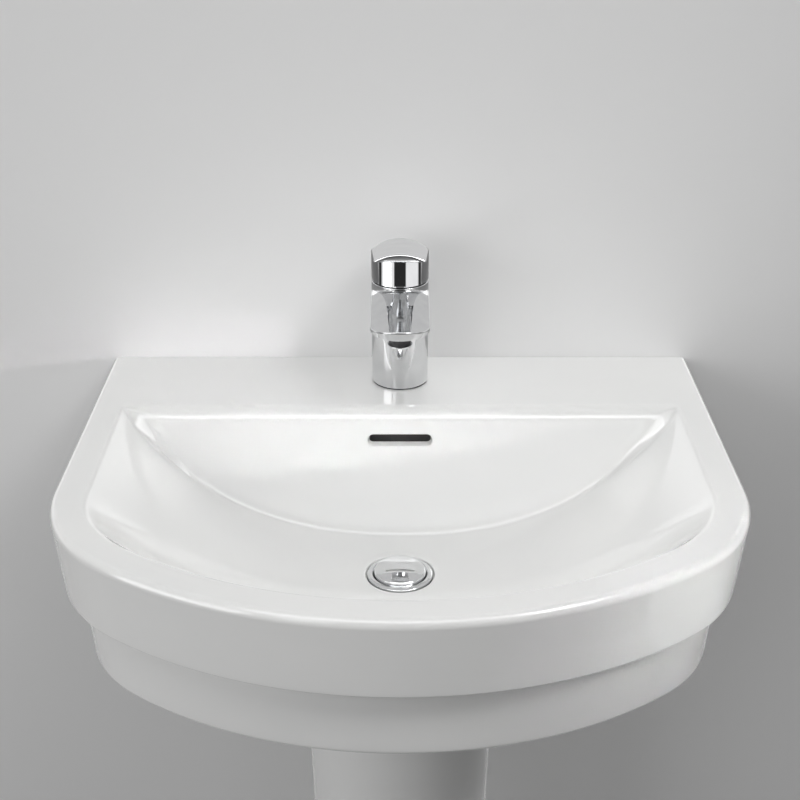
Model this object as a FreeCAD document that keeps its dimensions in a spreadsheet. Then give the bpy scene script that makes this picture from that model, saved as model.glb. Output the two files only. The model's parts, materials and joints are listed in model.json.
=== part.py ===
import FreeCAD, Part
import math
import os

import Sketcher
from FreeCAD import Base, Rotation, Vector

# Driving dimensions in millimetres. A name that ends in angle is in degrees, one that ends in
# share is a ratio and one that ends in count is a number of pieces.
SIZES = {
    # Fits used everywhere
    "seat_gap": 0.3,
    "running_fit": 0.05,
    "overrun": 5,
    # Basin, seen from above
    "rim_height": 850,
    "basin_width": 600,
    "basin_depth": 486,
    "front_reach": 202,
    "corner_radius": 152,
    "rim_width": 30,
    "deck_share": 0.2613169,
    "tap_from_wall": 55,
    "drain_share": 0.4969136,
    # Basin, seen from the side
    "upper_tier": 74,
    "waste_seat": 32,
    "tier_draft": 6.5,
    "tier_step": 13,
    "rim_rounding": 5.5,
    "foot_rounding": 9,
    "skirt_wall": 10,
    "bowl_wall": 10,
    "deck_thickness": 13,
    "back_thickness": 12,
    # Bowl
    "bowl_depth": 113,
    "bowl_curve_share": 2.465,
    "rear_slope_share": 0.43,
    "deck_rounding": 20,
    "deck_lead": 0.05,
    "bowl_back_lead": 4,
    "bowl_back_reach": 200,
    "bowl_back_corner": 62,
    # Overflow
    "overflow_width": 62,
    "overflow_height": 10.5,
    "overflow_depth": 25,
    "overflow_lip": 9,
    "overflow_channel": 16,
    "overflow_wall": 9,
    "chamber_drop": 24,
    "chamber_height": 16,
    "chamber_width": 30,
    # Holes in the basin
    "tap_hole_radius": 17.5,
    "wall_bolt_radius": 6.5,
    "wall_bolt_spacing": 280,
    "wall_bolt_depth": 95,
    "waste_hole_radius": 23,
    "waste_recess_radius": 33,
    "waste_recess": 3,
    # Pedestal
    "pedestal_top_half": 97,
    "pedestal_waist_half": 86,
    "pedestal_foot_half": 100,
    "pedestal_waist_share": 0.4,
    "pedestal_front_share": 0.9,
    "pedestal_corner_share": 0.7,
    "pedestal_lead": 26.5,
    "pedestal_hollow": 113.5,
    "pedestal_wall": 12,
    "seat_margin": 6,
    "pad_height": 2,
    "pad_length": 32,
    "pad_width": 9,
    "lug_width": 40,
    "lug_length": 44,
    "lug_height": 14,
    "floor_screw_radius": 4,
    # Waste
    "flange_radius": 31.5,
    "flange_edge": 1.5,
    "flange_height": 3,
    "flange_bevel": 2,
    "flange_seal_height": 1.5,
    "flange_seal_radius": 30.5,
    "plug_seat_radius": 26.5,
    "plug_seat_depth": 8,
    "neck_radius": 27.5,
    "neck_depth": 6,
    "tail_radius": 21,
    "tail_bore": 18,
    "tail_length": 78,
    "tail_window_width": 20,
    "tail_window_height": 15,
    "web_width": 6,
    "web_height": 6,
    "web_hub_radius": 8,
    "lower_seal_radius": 30,
    "lower_seal_height": 5,
    "backnut_radius": 31,
    "backnut_height": 11,
    "nut_sides_count": 8,
    # Click plug
    "plug_radius": 24.5,
    "plug_sink": 1.2,
    "plug_rise": 5,
    "plug_boss_radius": 8,
    "plug_boss_length": 13,
    "plug_seal_radius": 21,
    "plug_seal_height": 3.6,
    "spindle_radius": 3,
    "spindle_grip": 9,
    "spindle_length": 38,
    "collar_radius": 5,
    "collar_height": 2,
    "plug_travel": 9,
    "travel_spare": 1,
    "capsule_radius": 7,
    "capsule_wall": 1.6,
    "capsule_head": 3,
    "capsule_drop": 14,
    "capsule_length": 36,
    "capsule_spigot_radius": 3.5,
    "spring_wire": 0.45,
    "spring_turns_count": 6,
    "spring_steps_count": 12,
    # Bottle trap
    "trap_nut_radius": 27,
    "trap_nut_height": 24,
    "trap_nut_lip": 6,
    "trap_washer_height": 2,
    "pipe_radius": 16,
    "pipe_wall": 1.8,
    "dip_flange_radius": 20.5,
    "dip_flange_height": 2,
    "dip_length": 158,
    "bottle_drop": 42,
    "bottle_radius": 33,
    "bottle_wall": 3,
    "bottle_height": 66,
    "bottle_roof": 4,
    "collar_neck_radius": 20,
    "collar_neck_height": 12,
    "slip_nut_radius": 25,
    "slip_nut_lip": 4,
    "slip_nut_overlap": 10,
    "slip_seal_height": 3,
    "outlet_drop": 32,
    "outlet_reach": 61,
    "outlet_radius": 19,
    "outlet_grip": 25,
    "outlet_step": 0.5,
    "cup_radius": 36,
    "cup_overlap": 14,
    "cup_depth": 72,
    "cup_floor": 4,
    "cup_seal_height": 2.6,
    # Tap body and spout, heights above the deck
    "tap_radius": 28,
    "base_seal_radius": 27,
    "base_seal_bore": 18.5,
    "base_seal_height": 1.5,
    "tap_joint": 108,
    "joint_gap": 1,
    "spout_reach": 79,
    "spout_root": 106,
    "spout_tip": 95,
    "spout_under": 86,
    "spout_under_root": 66,
    "spout_under_run": 27,
    "spout_crown": 53,
    "waterway_radius": 3,
    "waterway_height": 89,
    "aerator_radius": 12,
    "aerator_drop": 11,
    "aerator_neck": 10.3,
    "aerator_neck_height": 6,
    "aerator_bore": 8.3,
    "aerator_lip": 1.3,
    "aerator_seal_height": 1.6,
    "aerator_seal_bore": 6,
    # Tap fixing
    "inlet_radius": 5,
    "inlet_depth": 22,
    "inlet_spacing": 16,
    "inlet_back": 5,
    "feed_radius": 5.4,
    "stud_radius": 4,
    "stud_front": 10,
    "stud_grip": 20,
    "stud_drop": 46,
    "clamp_radius": 24,
    "clamp_slot": 28,
    "clamp_slot_front": 4,
    "clamp_gasket_height": 3,
    "clamp_plate_height": 3,
    "clamp_nut_radius": 8,
    "clamp_nut_height": 10,
    "hex_sides_count": 6,
    # Cartridge, heights above the deck
    "cartridge_radius": 18,
    "cartridge_floor": 60,
    "cartridge_top": 99,
    "cartridge_chamber": 80,
    "cartridge_chamber_radius": 16,
    "cartridge_lip": 1.7,
    "port_radius": 3,
    "port_spacing": 16,
    "port_seal_radius": 7,
    "port_seal_height": 1.4,
    "upper_bore_radius": 21,
    "disc_radius": 15.8,
    "disc_height": 4,
    "slider_radius": 11.5,
    "slider_height": 10,
    "slider_offset": 3,
    "slider_pocket_length": 6.8,
    "slider_pocket_depth": 5.2,
    "carrier_radius": 12.9,
    "carrier_flange_radius": 15.4,
    "carrier_flange": 2.6,
    "carrier_top": 115,
    "carrier_slot_front": 11.6,
    "carrier_slot_back": 7.6,
    "pivot_height": 109,
    "pivot_radius": 2,
    "pivot_length": 24,
    "stem_width": 8,
    "stem_top": 139,
    "tail_arm": 16,
    "tail_tip_radius": 3,
    "tail_width": 4.4,
    "retainer_height": 4.7,
    "retainer_bore": 13.6,
    "dome_radius": 23.3,
    "dome_wall": 1.5,
    "dome_opening": 17,
    "dome_skirt_wall": 2.6,
    # Lever handle, heights above the deck
    "handle_cavity": 24,
    "handle_back_height": 140,
    "lever_tip_height": 163,
    "lever_reach": 85,
    "lever_tip_half": 24,
    "lever_thickness": 8,
    "lever_crown": 50,
    "lift_angle": 22,
    "lift_spare_angle": 2,
    "boss_radius": 7.5,
    "boss_bottom": 126,
    "grub_height": 134,
    "grub_radius": 2.5,
    "grub_length": 10,
    "index_radius": 3.5,
    "index_depth": 3,
}

# Stations of the smooth surfaces, as shares of the rim's opening and of the pedestal's height
BOWL_SHARES = (1.08, 1.0, 0.9, 0.78, 0.64, 0.5, 0.36, 0.24, 0.13)
PEDESTAL_SHARES = (0.0, 0.2, 0.4, 0.6, 0.8, 1.0)


doc = FreeCAD.newDocument("washbasin")
sheet = doc.addObject("Spreadsheet::Sheet", "Sizes")
for row, (alias, number) in enumerate(SIZES.items(), start=1):
    sheet.set(f"A{row}", alias)
    sheet.set(f"B{row}", str(number))
    sheet.setAlias(f"B{row}", alias)
doc.recompute()


class Size(float):
    """A length that also knows the sheet expression that gives it."""

    def __new__(cls, number, text):
        made = super().__new__(cls, number)
        made.text = text
        return made

    def __add__(self, other):
        return Size(float(self) + float(other), f"({self.text} + {expression(other)})")

    def __sub__(self, other):
        return Size(float(self) - float(other), f"({self.text} - {expression(other)})")

    def __mul__(self, other):
        return Size(float(self) * float(other), f"({self.text} * {expression(other)})")

    def __truediv__(self, other):
        return Size(float(self) / float(other), f"({self.text} / {expression(other)})")

    def __radd__(self, other):
        return Size(float(other) + float(self), f"({expression(other)} + {self.text})")

    def __rsub__(self, other):
        return Size(float(other) - float(self), f"({expression(other)} - {self.text})")

    def __neg__(self):
        return Size(-float(self), f"(0 - {self.text})")


class SheetSizes:
    """The sheet's cells, by alias, as sizes."""

    def __getattr__(self, alias):
        return Size(getattr(sheet, alias), f"Sizes.{alias}")


def expression(number):
    """Sheet expression of a size, or the plain number of a count or a share."""
    return number.text if isinstance(number, Size) else repr(float(number))


size = SheetSizes()
nodes = []


# Places that several pieces share: Y runs back to the wall, Z up from the floor
wall = size.basin_depth / 2
rim = size.rim_height
drain_y = wall - size.basin_depth * size.drain_share
tap_y = wall - size.tap_from_wall
deck_front = wall - size.basin_depth * size.deck_share
side_end = wall - size.basin_depth + size.front_reach
bowl_floor = rim - size.bowl_depth
basin_bottom = bowl_floor - size.waste_seat
chamber_floor_z = bowl_floor - size.chamber_drop
pedestal_front = drain_y + size.pedestal_lead
pedestal_back = drain_y + size.pedestal_hollow
flange_under = bowl_floor - size.waste_recess + size.flange_seal_height
flange_top = flange_under + size.flange_height
tail_end = flange_top - size.tail_length
plug_under = flange_top - size.plug_sink
capsule_top = plug_under - size.plug_boss_length - size.capsule_drop
capsule_bottom = capsule_top - size.capsule_length
pivot_z = rim + size.pivot_height
tap_base = rim + size.base_seal_height
handle_bottom = rim + size.tap_joint + size.joint_gap / 2
body_top = rim + size.tap_joint - size.joint_gap / 2


def keep(item, label):
    """Name a finished piece and list it for export."""
    item.Label = label
    nodes.append(item)
    return item


def bind(item, **sizes):
    """Tie an object's properties to sheet expressions."""
    for name, number in sizes.items():
        item.setExpression(name, expression(number))
    return item


def place(item, x=0, y=0, z=0, turn=None):
    """Tie an object's place to sheet expressions, after an optional turn."""
    if turn:
        item.Placement = FreeCAD.Placement(Vector(), turn)
    for axis, number in zip("xyz", (x, y, z)):
        item.setExpression(f"Placement.Base.{axis}", expression(number))
    return item


ALONG_Y = Rotation(Vector(1, 0, 0), -90)
ALONG_X = Rotation(Vector(0, 1, 0), 90)


def cylinder(name, radius, height, x=0, y=0, z=0, turn=None):
    """Solid cylinder, upright unless turned."""
    made = doc.addObject("Part::Cylinder", name)
    return place(bind(made, Radius=radius, Height=height), x, y, z, turn)


def sphere(name, radius, x=0, y=0, z=0):
    """Solid ball about a point."""
    return place(bind(doc.addObject("Part::Sphere", name), Radius=radius), x, y, z)


def prism(name, sides, radius, height, x=0, y=0, z=0, turn=None):
    """Upright prism with equal sides, for nuts."""
    made = doc.addObject("Part::Prism", name)
    return place(bind(made, Polygon=sides, Circumradius=radius, Height=height), x, y, z, turn)


def box(name, length, width, height, x=0, y=0, z=0):
    """Block centred on x that starts at y and z."""
    made = doc.addObject("Part::Box", name)
    return place(bind(made, Length=length, Width=width, Height=height), x - length / 2, y, z)


def fuse(name, *pieces):
    """One solid from pieces that run into each other."""
    made = doc.addObject("Part::MultiFuse", name)
    made.Shapes = list(pieces)
    return made


def cut(name, base, *tools):
    """A base with the tools taken away."""
    made = doc.addObject("Part::Cut", name)
    made.Base = base
    made.Tool = tools[0] if len(tools) == 1 else fuse(f"{name}_tools", *tools)
    return made


def common(name, *pieces):
    """What all the pieces share."""
    made = doc.addObject("Part::MultiCommon", name)
    made.Shapes = list(pieces)
    return made


def group(name, *pieces):
    """Separate solids under one name."""
    made = doc.addObject("Part::Compound", name)
    made.Links = list(pieces)
    return made


def cast(name, shape):
    """A free-form piece."""
    made = doc.addObject("Part::Feature", name)
    made.Shape = shape
    return made


def turned(name, outline, y=0, z=0, turn=None):
    """Body spun from a closed outline of (radius, height) corners about its own axis."""
    body = doc.addObject("PartDesign::Body", name)
    sketch = body.newObject("Sketcher::SketchObject", f"{name}_outline")
    plane = next(part for part in body.Origin.OriginFeatures if part.Role == "XZ_Plane")
    sketch.AttachmentSupport = (plane, [""])
    sketch.MapMode = "FlatFace"
    corners = [Vector(radius, height, 0) for radius, height in outline]
    for start, end in zip(corners, corners[1:] + corners[:1]):
        sketch.addGeometry(Part.LineSegment(start, end), False)
    for index, corner in enumerate(outline):
        before = (index - 1) % len(outline)
        sketch.addConstraint(Sketcher.Constraint("Coincident", before, 2, index, 1))
        for kind, axis, number in zip(("DistanceX", "DistanceY"), (-2, -1), corner):
            if isinstance(number, Size):
                rule = Sketcher.Constraint(kind, -1, 1, index, 1, float(number))
                made = sketch.addConstraint(rule)
                sketch.setExpression(f"Constraints[{made}]", expression(number))
            else:
                sketch.addConstraint(Sketcher.Constraint("PointOnObject", index, 1, axis))
    spin = body.newObject("PartDesign::Revolution", f"{name}_spin")
    spin.Profile = sketch
    spin.ReferenceAxis = (sketch, ["V_Axis"])
    spin.Angle = 360
    return place(body, y=y, z=z, turn=turn)


def ring(name, bore, radius, bottom, height, y=0, z=0, turn=None):
    """Plain ring spun about its axis."""
    top = bottom + height
    outline = [(bore, bottom), (radius, bottom), (radius, top), (bore, top)]
    return turned(name, outline, y, z, turn)


# Outlines of the cast pieces


def line(start, end):
    """Straight edge."""
    return Part.LineSegment(start, end).toShape()


def arc(start, middle, end):
    """Round edge through three points."""
    return Part.Arc(start, middle, end).toShape()


def flip(point):
    """Mirror point on the other side of the middle plane."""
    return Vector(-point.x, point.y, point.z)


def bowed_end(half_width, straight, reach, corner, toward, z):
    """Right-hand points of a bowed end: corner's start, its middle, the bow's start and its tip."""
    inner = half_width - corner
    bow = (inner**2 + reach**2 - corner**2) / (2 * (reach - corner))
    normal = Vector(inner, toward * (bow - reach), 0).normalize()
    halfway = (Vector(1, 0, 0) + normal).normalize()
    centre = Vector(inner, straight, z)
    start = Vector(half_width, straight, z)
    tip = Vector(0, straight + toward * reach, z)
    return start, centre + halfway * corner, centre + normal * corner, tip


def d_wire(half_width, back, straight, reach, corner, z):
    """Outline with a flat back, straight sides and a bowed front."""
    start, middle, meet, tip = bowed_end(half_width, straight, reach, corner, -1, z)
    behind = Vector(half_width, back, z)
    return Part.Wire([
        line(behind, start),
        arc(start, middle, meet),
        arc(meet, tip, flip(meet)),
        arc(flip(meet), flip(middle), flip(start)),
        line(flip(start), flip(behind)),
        line(flip(behind), behind),
    ])


def oval_wire(half_width, front, back, z):
    """Outline with straight sides and two bowed ends, each (straight, reach, corner)."""
    start, middle, meet, tip = bowed_end(half_width, *front, -1, z)
    rear_start, rear_middle, rear_meet, rear_tip = bowed_end(half_width, *back, 1, z)
    return Part.Wire([
        line(rear_start, start),
        arc(start, middle, meet),
        arc(meet, tip, flip(meet)),
        arc(flip(meet), flip(middle), flip(start)),
        line(flip(start), flip(rear_start)),
        arc(flip(rear_start), flip(rear_middle), flip(rear_meet)),
        arc(flip(rear_meet), rear_tip, rear_meet),
        arc(rear_meet, rear_middle, rear_start),
    ])


def side_slab(points, half_width):
    """Slab across X from (y, z) corners of its side view."""
    corners = [Vector(-half_width, y, z) for y, z in points]
    face = Part.Face(Part.makePolygon(corners + corners[:1]))
    return face.extrude(Vector(2 * half_width, 0, 0))


def rod(radius, length, base, along):
    """Cylinder from a point in a direction."""
    return Part.makeCylinder(radius, length, base, along)


def block(length, width, height, x, y, z):
    """Block centred on x that starts at y and z."""
    return Part.makeBox(length, width, height, Vector(x - length / 2, y, z))


# Basin


def skirt_wire(inset, back, z):
    """The basin's outline, drawn in by an inset, on a back line."""
    return d_wire(
        size.basin_width / 2 - inset,
        back,
        side_end,
        size.front_reach - inset,
        size.corner_radius - inset,
        z,
    )


def front_edges(solid, z, back):
    """Edges of the basin's outline at a height, without the one along the back."""
    tolerance = Base.Precision.approximation()
    found = []
    for edge in solid.Edges:
        level = all(abs(end.Z - z) < tolerance for end in edge.Vertexes)
        behind = all(abs(end.Y - back) < tolerance for end in edge.Vertexes)
        if level and not behind:
            found.append(edge)
    return found


def tier(top_inset, top, bottom_inset, bottom, rounding, rounded_at):
    """One drafted storey of the basin with one rounded edge."""
    behind = wall + size.overrun
    wires = [skirt_wire(top_inset, behind, top), skirt_wire(bottom_inset, behind, bottom)]
    solid = Part.makeLoft(wires, True, True)
    solid = solid.makeFillet(rounding, front_edges(solid, rounded_at, behind))
    length = size.basin_width + size.overrun * 2
    height = top - bottom + size.overrun * 2
    waste = block(length, size.overrun * 2, height, 0, wall, bottom - size.overrun)
    return solid.cut(waste)


def bowl_loft(thickness):
    """The dish, from the rim down to its flat floor, thicker all round by a wall."""
    floor_share = BOWL_SHARES[-1]
    power = size.bowl_curve_share
    wires = []
    for share in BOWL_SHARES:
        depth = size.bowl_depth * (1 - share**power) / (1 - floor_share**power)
        half_width = (size.basin_width / 2 - size.rim_width) * share + thickness
        front = (
            drain_y + (side_end - drain_y) * share,
            (size.front_reach - size.rim_width) * share + thickness,
            (size.corner_radius - size.rim_width) * share + thickness,
        )
        back = (
            drain_y + (deck_front - size.bowl_back_lead - drain_y) * share,
            size.bowl_back_reach * share + thickness,
            size.bowl_back_corner * share + thickness,
        )
        wires.append(oval_wire(half_width, front, back, rim - depth - thickness))
    return Part.makeLoft(wires, True, False)


def rear_y(depth):
    """Where the bowl's sloped rear wall lies at a depth under the rim."""
    return deck_front - size.rear_slope_share * depth


def rear_guide(thickness):
    """All the space in front of the rear wall and of the deck's rounded front edge."""
    fall = math.atan(size.rear_slope_share)
    back = thickness / math.cos(fall)
    top = rim + size.deck_lead
    run = size.deck_rounding * math.tan((math.pi / 2 - fall) / 2)
    corner = Vector(0, rear_y(-size.deck_lead) + back, top)
    start = corner + Vector(0, run, 0)
    end = corner + Vector(0, -run * math.sin(fall), -run * math.cos(fall))
    centre = start - Vector(0, 0, size.deck_rounding)
    middle = centre + ((start - centre) + (end - centre)).normalize() * size.deck_rounding
    deepest = size.bowl_depth + thickness + size.overrun
    ceiling = rim + size.bowl_depth
    ahead = wall - size.basin_depth - size.overrun
    bottom_back = Vector(0, rear_y(deepest) + back, rim - deepest)
    bottom_front = Vector(0, ahead, rim - deepest)
    top_front = Vector(0, ahead, ceiling)
    top_back = Vector(0, start.y, ceiling)
    outline = Part.Wire([
        arc(start, middle, end),
        line(end, bottom_back),
        line(bottom_back, bottom_front),
        line(bottom_front, top_front),
        line(top_front, top_back),
        line(top_back, start),
    ])
    outline.translate(Vector(-size.basin_width / 2, 0, 0))
    return Part.Face(outline).extrude(Vector(size.basin_width, 0, 0))


def upright(wire, height):
    """Prism over a flat outline."""
    return Part.Face(wire).extrude(Vector(0, 0, height))


def underside_hollow():
    """The space under the rim and the deck, around the bowl, the seat and the overflow."""
    back = wall - size.back_thickness
    ceiling = rim - size.deck_thickness
    upper_floor = rim - size.upper_tier + size.skirt_wall
    upper_inset = size.tier_draft + size.skirt_wall
    lower_inset = size.tier_draft * 2 + size.tier_step + size.skirt_wall
    below = basin_bottom - size.overrun
    upper = upright(skirt_wire(upper_inset, back, upper_floor), ceiling - upper_floor)
    lower = upright(skirt_wire(lower_inset, back, below), (upper_floor + ceiling) / 2 - below)
    shell = bowl_loft(size.bowl_wall).common(rear_guide(size.bowl_wall))
    seat = d_wire(
        size.pedestal_top_half + size.seat_margin,
        pedestal_back + size.seat_margin,
        pedestal_front,
        size.pedestal_top_half * size.pedestal_front_share + size.seat_margin,
        size.pedestal_top_half * size.pedestal_corner_share + size.seat_margin,
        below,
    )
    thickness = size.overflow_lip + size.overflow_channel + size.overflow_wall
    duct = side_slab(
        [
            (rear_y(0), rim),
            (rear_y(0) + thickness, rim),
            (rear_y(rim - below) + thickness, below),
            (rear_y(rim - below), below),
        ],
        size.overflow_width / 2 + size.overflow_wall,
    )
    return upper.fuse(lower).cut(shell).cut(upright(seat, bowl_floor - below)).cut(duct)


def overflow_way():
    """Slot in the rear wall, the sloped channel behind it and the chamber round the waste."""
    top = size.overflow_depth - size.overflow_height
    bottom = size.bowl_depth + size.chamber_drop
    near = size.overflow_lip
    far = size.overflow_lip + size.overflow_channel
    half_width = size.overflow_width / 2
    channel = side_slab(
        [
            (rear_y(top) + near, rim - top),
            (rear_y(top) + far, rim - top),
            (rear_y(bottom) + far, rim - bottom),
            (rear_y(bottom) + near, rim - bottom),
        ],
        half_width,
    )
    back = rear_y(bottom) + far
    chamber = block(
        size.chamber_width, back - drain_y, size.chamber_height, 0, drain_y, rim - bottom
    )
    round_end = size.overflow_height / 2
    slot_front = rear_y(size.overflow_depth) - size.deck_rounding
    slot_length = size.deck_rounding + (near + far) / 2
    level = rim - size.overflow_depth
    slot = block(
        size.overflow_width - size.overflow_height,
        slot_length,
        size.overflow_height,
        0,
        slot_front,
        level - round_end,
    )
    for side in (-1, 1):
        end = Vector(side * (half_width - round_end), slot_front, level)
        slot = slot.fuse(rod(round_end, slot_length, end, Vector(0, 1, 0)))
    return channel.fuse(chamber).fuse(slot)


def basin_holes():
    """Tap hole, waste hole with its recess and the two bolt holes in the back."""
    up = Vector(0, 0, 1)
    height = rim - basin_bottom + size.overrun * 2
    bottom = basin_bottom - size.overrun
    tap = rod(size.tap_hole_radius, height, Vector(0, tap_y, bottom), up)
    waste = rod(size.waste_hole_radius, size.bowl_depth, Vector(0, drain_y, bottom), up)
    recess_start = Vector(0, drain_y, bowl_floor - size.waste_recess)
    recess = rod(size.waste_recess_radius, size.waste_recess + size.overrun, recess_start, up)
    sink_radius = size.neck_radius + size.seat_gap
    sink_start = recess_start - up * size.neck_depth
    sink = Part.makeCone(size.waste_hole_radius, sink_radius, size.neck_depth, sink_start, up)
    holes = [waste, recess, sink]
    for side in (-1, 1):
        x = side * size.wall_bolt_spacing / 2
        start = Vector(x, wall + size.overrun, rim - size.wall_bolt_depth)
        length = size.back_thickness + size.overrun * 2
        holes.append(rod(size.wall_bolt_radius, length, start, Vector(0, -1, 0)))
    return tap.multiFuse(holes)


def make_basin():
    """Two drafted tiers with the bowl, the hollow, the overflow and the holes taken out."""
    ledge = rim - size.upper_tier
    inner = size.tier_draft + size.tier_step
    lean = math.atan(size.tier_draft / size.upper_tier)
    lead = size.rim_rounding * (1 / math.cos(lean) + math.tan(lean) - 1)
    upper = tier(-lead, rim, size.tier_draft, ledge, size.rim_rounding, rim)
    lower = tier(
        inner, ledge, inner + size.tier_draft, basin_bottom, size.foot_rounding, basin_bottom
    )
    bowl = bowl_loft(0).common(rear_guide(0))
    solid = upper.fuse(lower).cut(bowl).cut(underside_hollow())
    return solid.cut(overflow_way()).cut(basin_holes()).removeSplitter()


keep(cast("basin_shape", make_basin()), "basin")


# Pedestal

pedestal_height = basin_bottom - size.pad_height


def pedestal_half(share):
    """Half width of the pedestal at a share of its height, drawn in to a waist."""
    waist_share = size.pedestal_waist_share
    if share < waist_share:
        spread = size.pedestal_foot_half - size.pedestal_waist_half
        return size.pedestal_waist_half + spread * (1 - share / waist_share) ** 2
    spread = size.pedestal_top_half - size.pedestal_waist_half
    return size.pedestal_waist_half + spread * ((share - waist_share) / (1 - waist_share)) ** 2


def pedestal_loft(inset, back, extra):
    """Column drawn in by an inset and longer at both ends by an extra."""
    wires = []
    for share in PEDESTAL_SHARES:
        half_width = pedestal_half(share)
        height = share * (pedestal_height + extra * 2) - extra
        wires.append(
            d_wire(
                half_width - inset,
                back,
                pedestal_front,
                half_width * size.pedestal_front_share - inset,
                half_width * size.pedestal_corner_share - inset,
                height,
            )
        )
    return Part.makeLoft(wires, True, False)


def make_pedestal():
    """Hollow column, open at the back, with two lugs for floor screws."""
    back = pedestal_back
    solid = pedestal_loft(0, back, 0)
    solid = solid.cut(pedestal_loft(size.pedestal_wall, back + size.overrun, size.overrun))
    lug_y = back - size.lug_length
    root = size.pedestal_wall / 2
    screw_x = size.pedestal_foot_half - size.pedestal_wall - size.lug_width / 2
    for side in (-1, 1):
        x = side * (screw_x + root / 2)
        width = size.lug_width + root
        solid = solid.fuse(block(width, size.lug_length, size.lug_height, x, lug_y, 0))
    for side in (-1, 1):
        start = Vector(side * screw_x, lug_y + size.lug_length / 2, -size.overrun)
        length = size.lug_height + size.overrun * 2
        solid = solid.cut(rod(size.floor_screw_radius, length, start, Vector(0, 0, 1)))
    return solid.removeSplitter()


keep(cast("pedestal_shape", make_pedestal()), "pedestal")

pad_side = size.pedestal_top_half - size.pedestal_wall / 2
pad_front = pedestal_front - size.pedestal_top_half * size.pedestal_front_share
pads = [
    box(
        f"pad_{name}",
        size.pad_width,
        size.pad_length,
        size.pad_height,
        pad_side * side,
        pedestal_front,
        pedestal_height,
    )
    for name, side in (("left", -1), ("right", 1))
]
pads.append(
    box(
        "pad_front",
        size.pad_length,
        size.pad_width,
        size.pad_height,
        0,
        pad_front + (size.pedestal_wall - size.pad_width) / 2,
        pedestal_height,
    )
)
keep(group("pads", *pads), "pedestal_pads")


# Waste


def make_waste_body():
    """Flanged tail with overflow windows and a cross web that carries the click capsule."""
    tube = turned(
        "waste_tube",
        [
            (size.tail_bore, tail_end),
            (size.tail_radius, tail_end),
            (size.tail_radius, flange_under - size.neck_depth),
            (size.neck_radius, flange_under),
            (size.flange_radius, flange_under),
            (size.flange_radius, flange_under + size.flange_edge),
            (size.flange_radius - size.flange_bevel, flange_top),
            (size.plug_seat_radius, flange_top),
            (size.tail_bore, flange_top - size.plug_seat_depth),
        ],
        y=drain_y,
    )
    window_top = chamber_floor_z + size.chamber_height
    window = box(
        "waste_window",
        size.tail_window_width,
        size.tail_radius * 2,
        size.tail_window_height,
        y=drain_y - size.tail_radius,
        z=window_top - size.tail_window_height,
    )
    web_bottom = capsule_bottom - size.web_height
    web = box(
        "waste_web",
        size.tail_bore + size.tail_radius,
        size.web_width,
        size.web_height,
        y=drain_y - size.web_width / 2,
        z=web_bottom,
    )
    hub = cylinder("waste_hub", size.web_hub_radius, size.web_height, y=drain_y, z=web_bottom)
    hole = cylinder(
        "waste_hub_hole",
        size.capsule_spigot_radius + size.running_fit,
        size.web_height + size.overrun * 2,
        y=drain_y,
        z=web_bottom - size.overrun,
    )
    tail = cut("waste_tail", tube, window)
    return cut("waste_body", fuse("waste_solid", tail, web, hub), hole)


keep(make_waste_body(), "waste_body")
keep(
    ring(
        "flange_ring",
        size.neck_radius + size.seat_gap,
        size.flange_seal_radius,
        bowl_floor - size.waste_recess,
        size.flange_seal_height,
        y=drain_y,
    ),
    "flange_seal",
)
keep(
    ring(
        "lower_ring",
        size.tail_radius + size.seat_gap,
        size.lower_seal_radius,
        basin_bottom - size.lower_seal_height,
        size.lower_seal_height,
        y=drain_y,
    ),
    "lower_seal",
)


def drilled_nut(name, sides, radius, height, bore, y, z):
    """Upright nut with a plain bore."""
    blank = prism(f"{name}_blank", sides, radius, height, y=y, z=z)
    hole = cylinder(f"{name}_hole", bore, height + size.overrun * 2, y=y, z=z - size.overrun)
    return cut(name, blank, hole)


backnut_top = basin_bottom - size.lower_seal_height
keep(
    drilled_nut(
        "back_nut",
        size.nut_sides_count,
        size.backnut_radius,
        size.backnut_height,
        size.tail_radius + size.running_fit,
        drain_y,
        backnut_top - size.backnut_height,
    ),
    "backnut",
)


def make_plug_cap():
    """Domed cap with a drilled boss underneath."""
    crown = size.plug_rise + size.plug_sink
    dome_radius = (size.plug_radius * size.plug_radius + crown * crown) / (crown * 2)
    disc = cylinder("plug_disc", size.plug_radius, crown, y=drain_y, z=plug_under)
    ball = sphere("plug_ball", dome_radius, y=drain_y, z=plug_under + crown - dome_radius)
    boss_bottom = plug_under - size.plug_boss_length
    boss = cylinder(
        "plug_boss", size.plug_boss_radius, size.plug_boss_length + crown / 2, 0, drain_y, boss_bottom
    )
    bore = cylinder(
        "plug_bore",
        size.spindle_radius + size.running_fit,
        size.spindle_grip + size.overrun,
        0,
        drain_y,
        boss_bottom - size.overrun,
    )
    solid = fuse("plug_solid", common("plug_dome", disc, ball), boss)
    return cut("plug_drilled", solid, bore)


keep(make_plug_cap(), "plug_cap")
keep(
    ring(
        "plug_washer",
        size.plug_boss_radius + size.running_fit,
        size.plug_seal_radius,
        plug_under - size.plug_seal_height,
        size.plug_seal_height,
        y=drain_y,
    ),
    "plug_seal",
)
spindle_top = plug_under - size.plug_boss_length + size.spindle_grip
spindle_bottom = plug_under - size.plug_boss_length - size.spindle_length
collar_over = capsule_top - size.capsule_head - size.plug_travel - size.travel_spare
collar_under = collar_over - size.collar_height
keep(
    turned(
        "plug_rod",
        [
            (0, spindle_bottom),
            (size.spindle_radius, spindle_bottom),
            (size.spindle_radius, collar_under),
            (size.collar_radius, collar_under),
            (size.collar_radius, collar_over),
            (size.spindle_radius, collar_over),
            (size.spindle_radius, spindle_top),
            (0, spindle_top),
        ],
        y=drain_y,
    ),
    "plug_spindle",
)
capsule_bore = size.capsule_radius - size.capsule_wall
capsule_floor = capsule_bottom + size.capsule_wall
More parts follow.
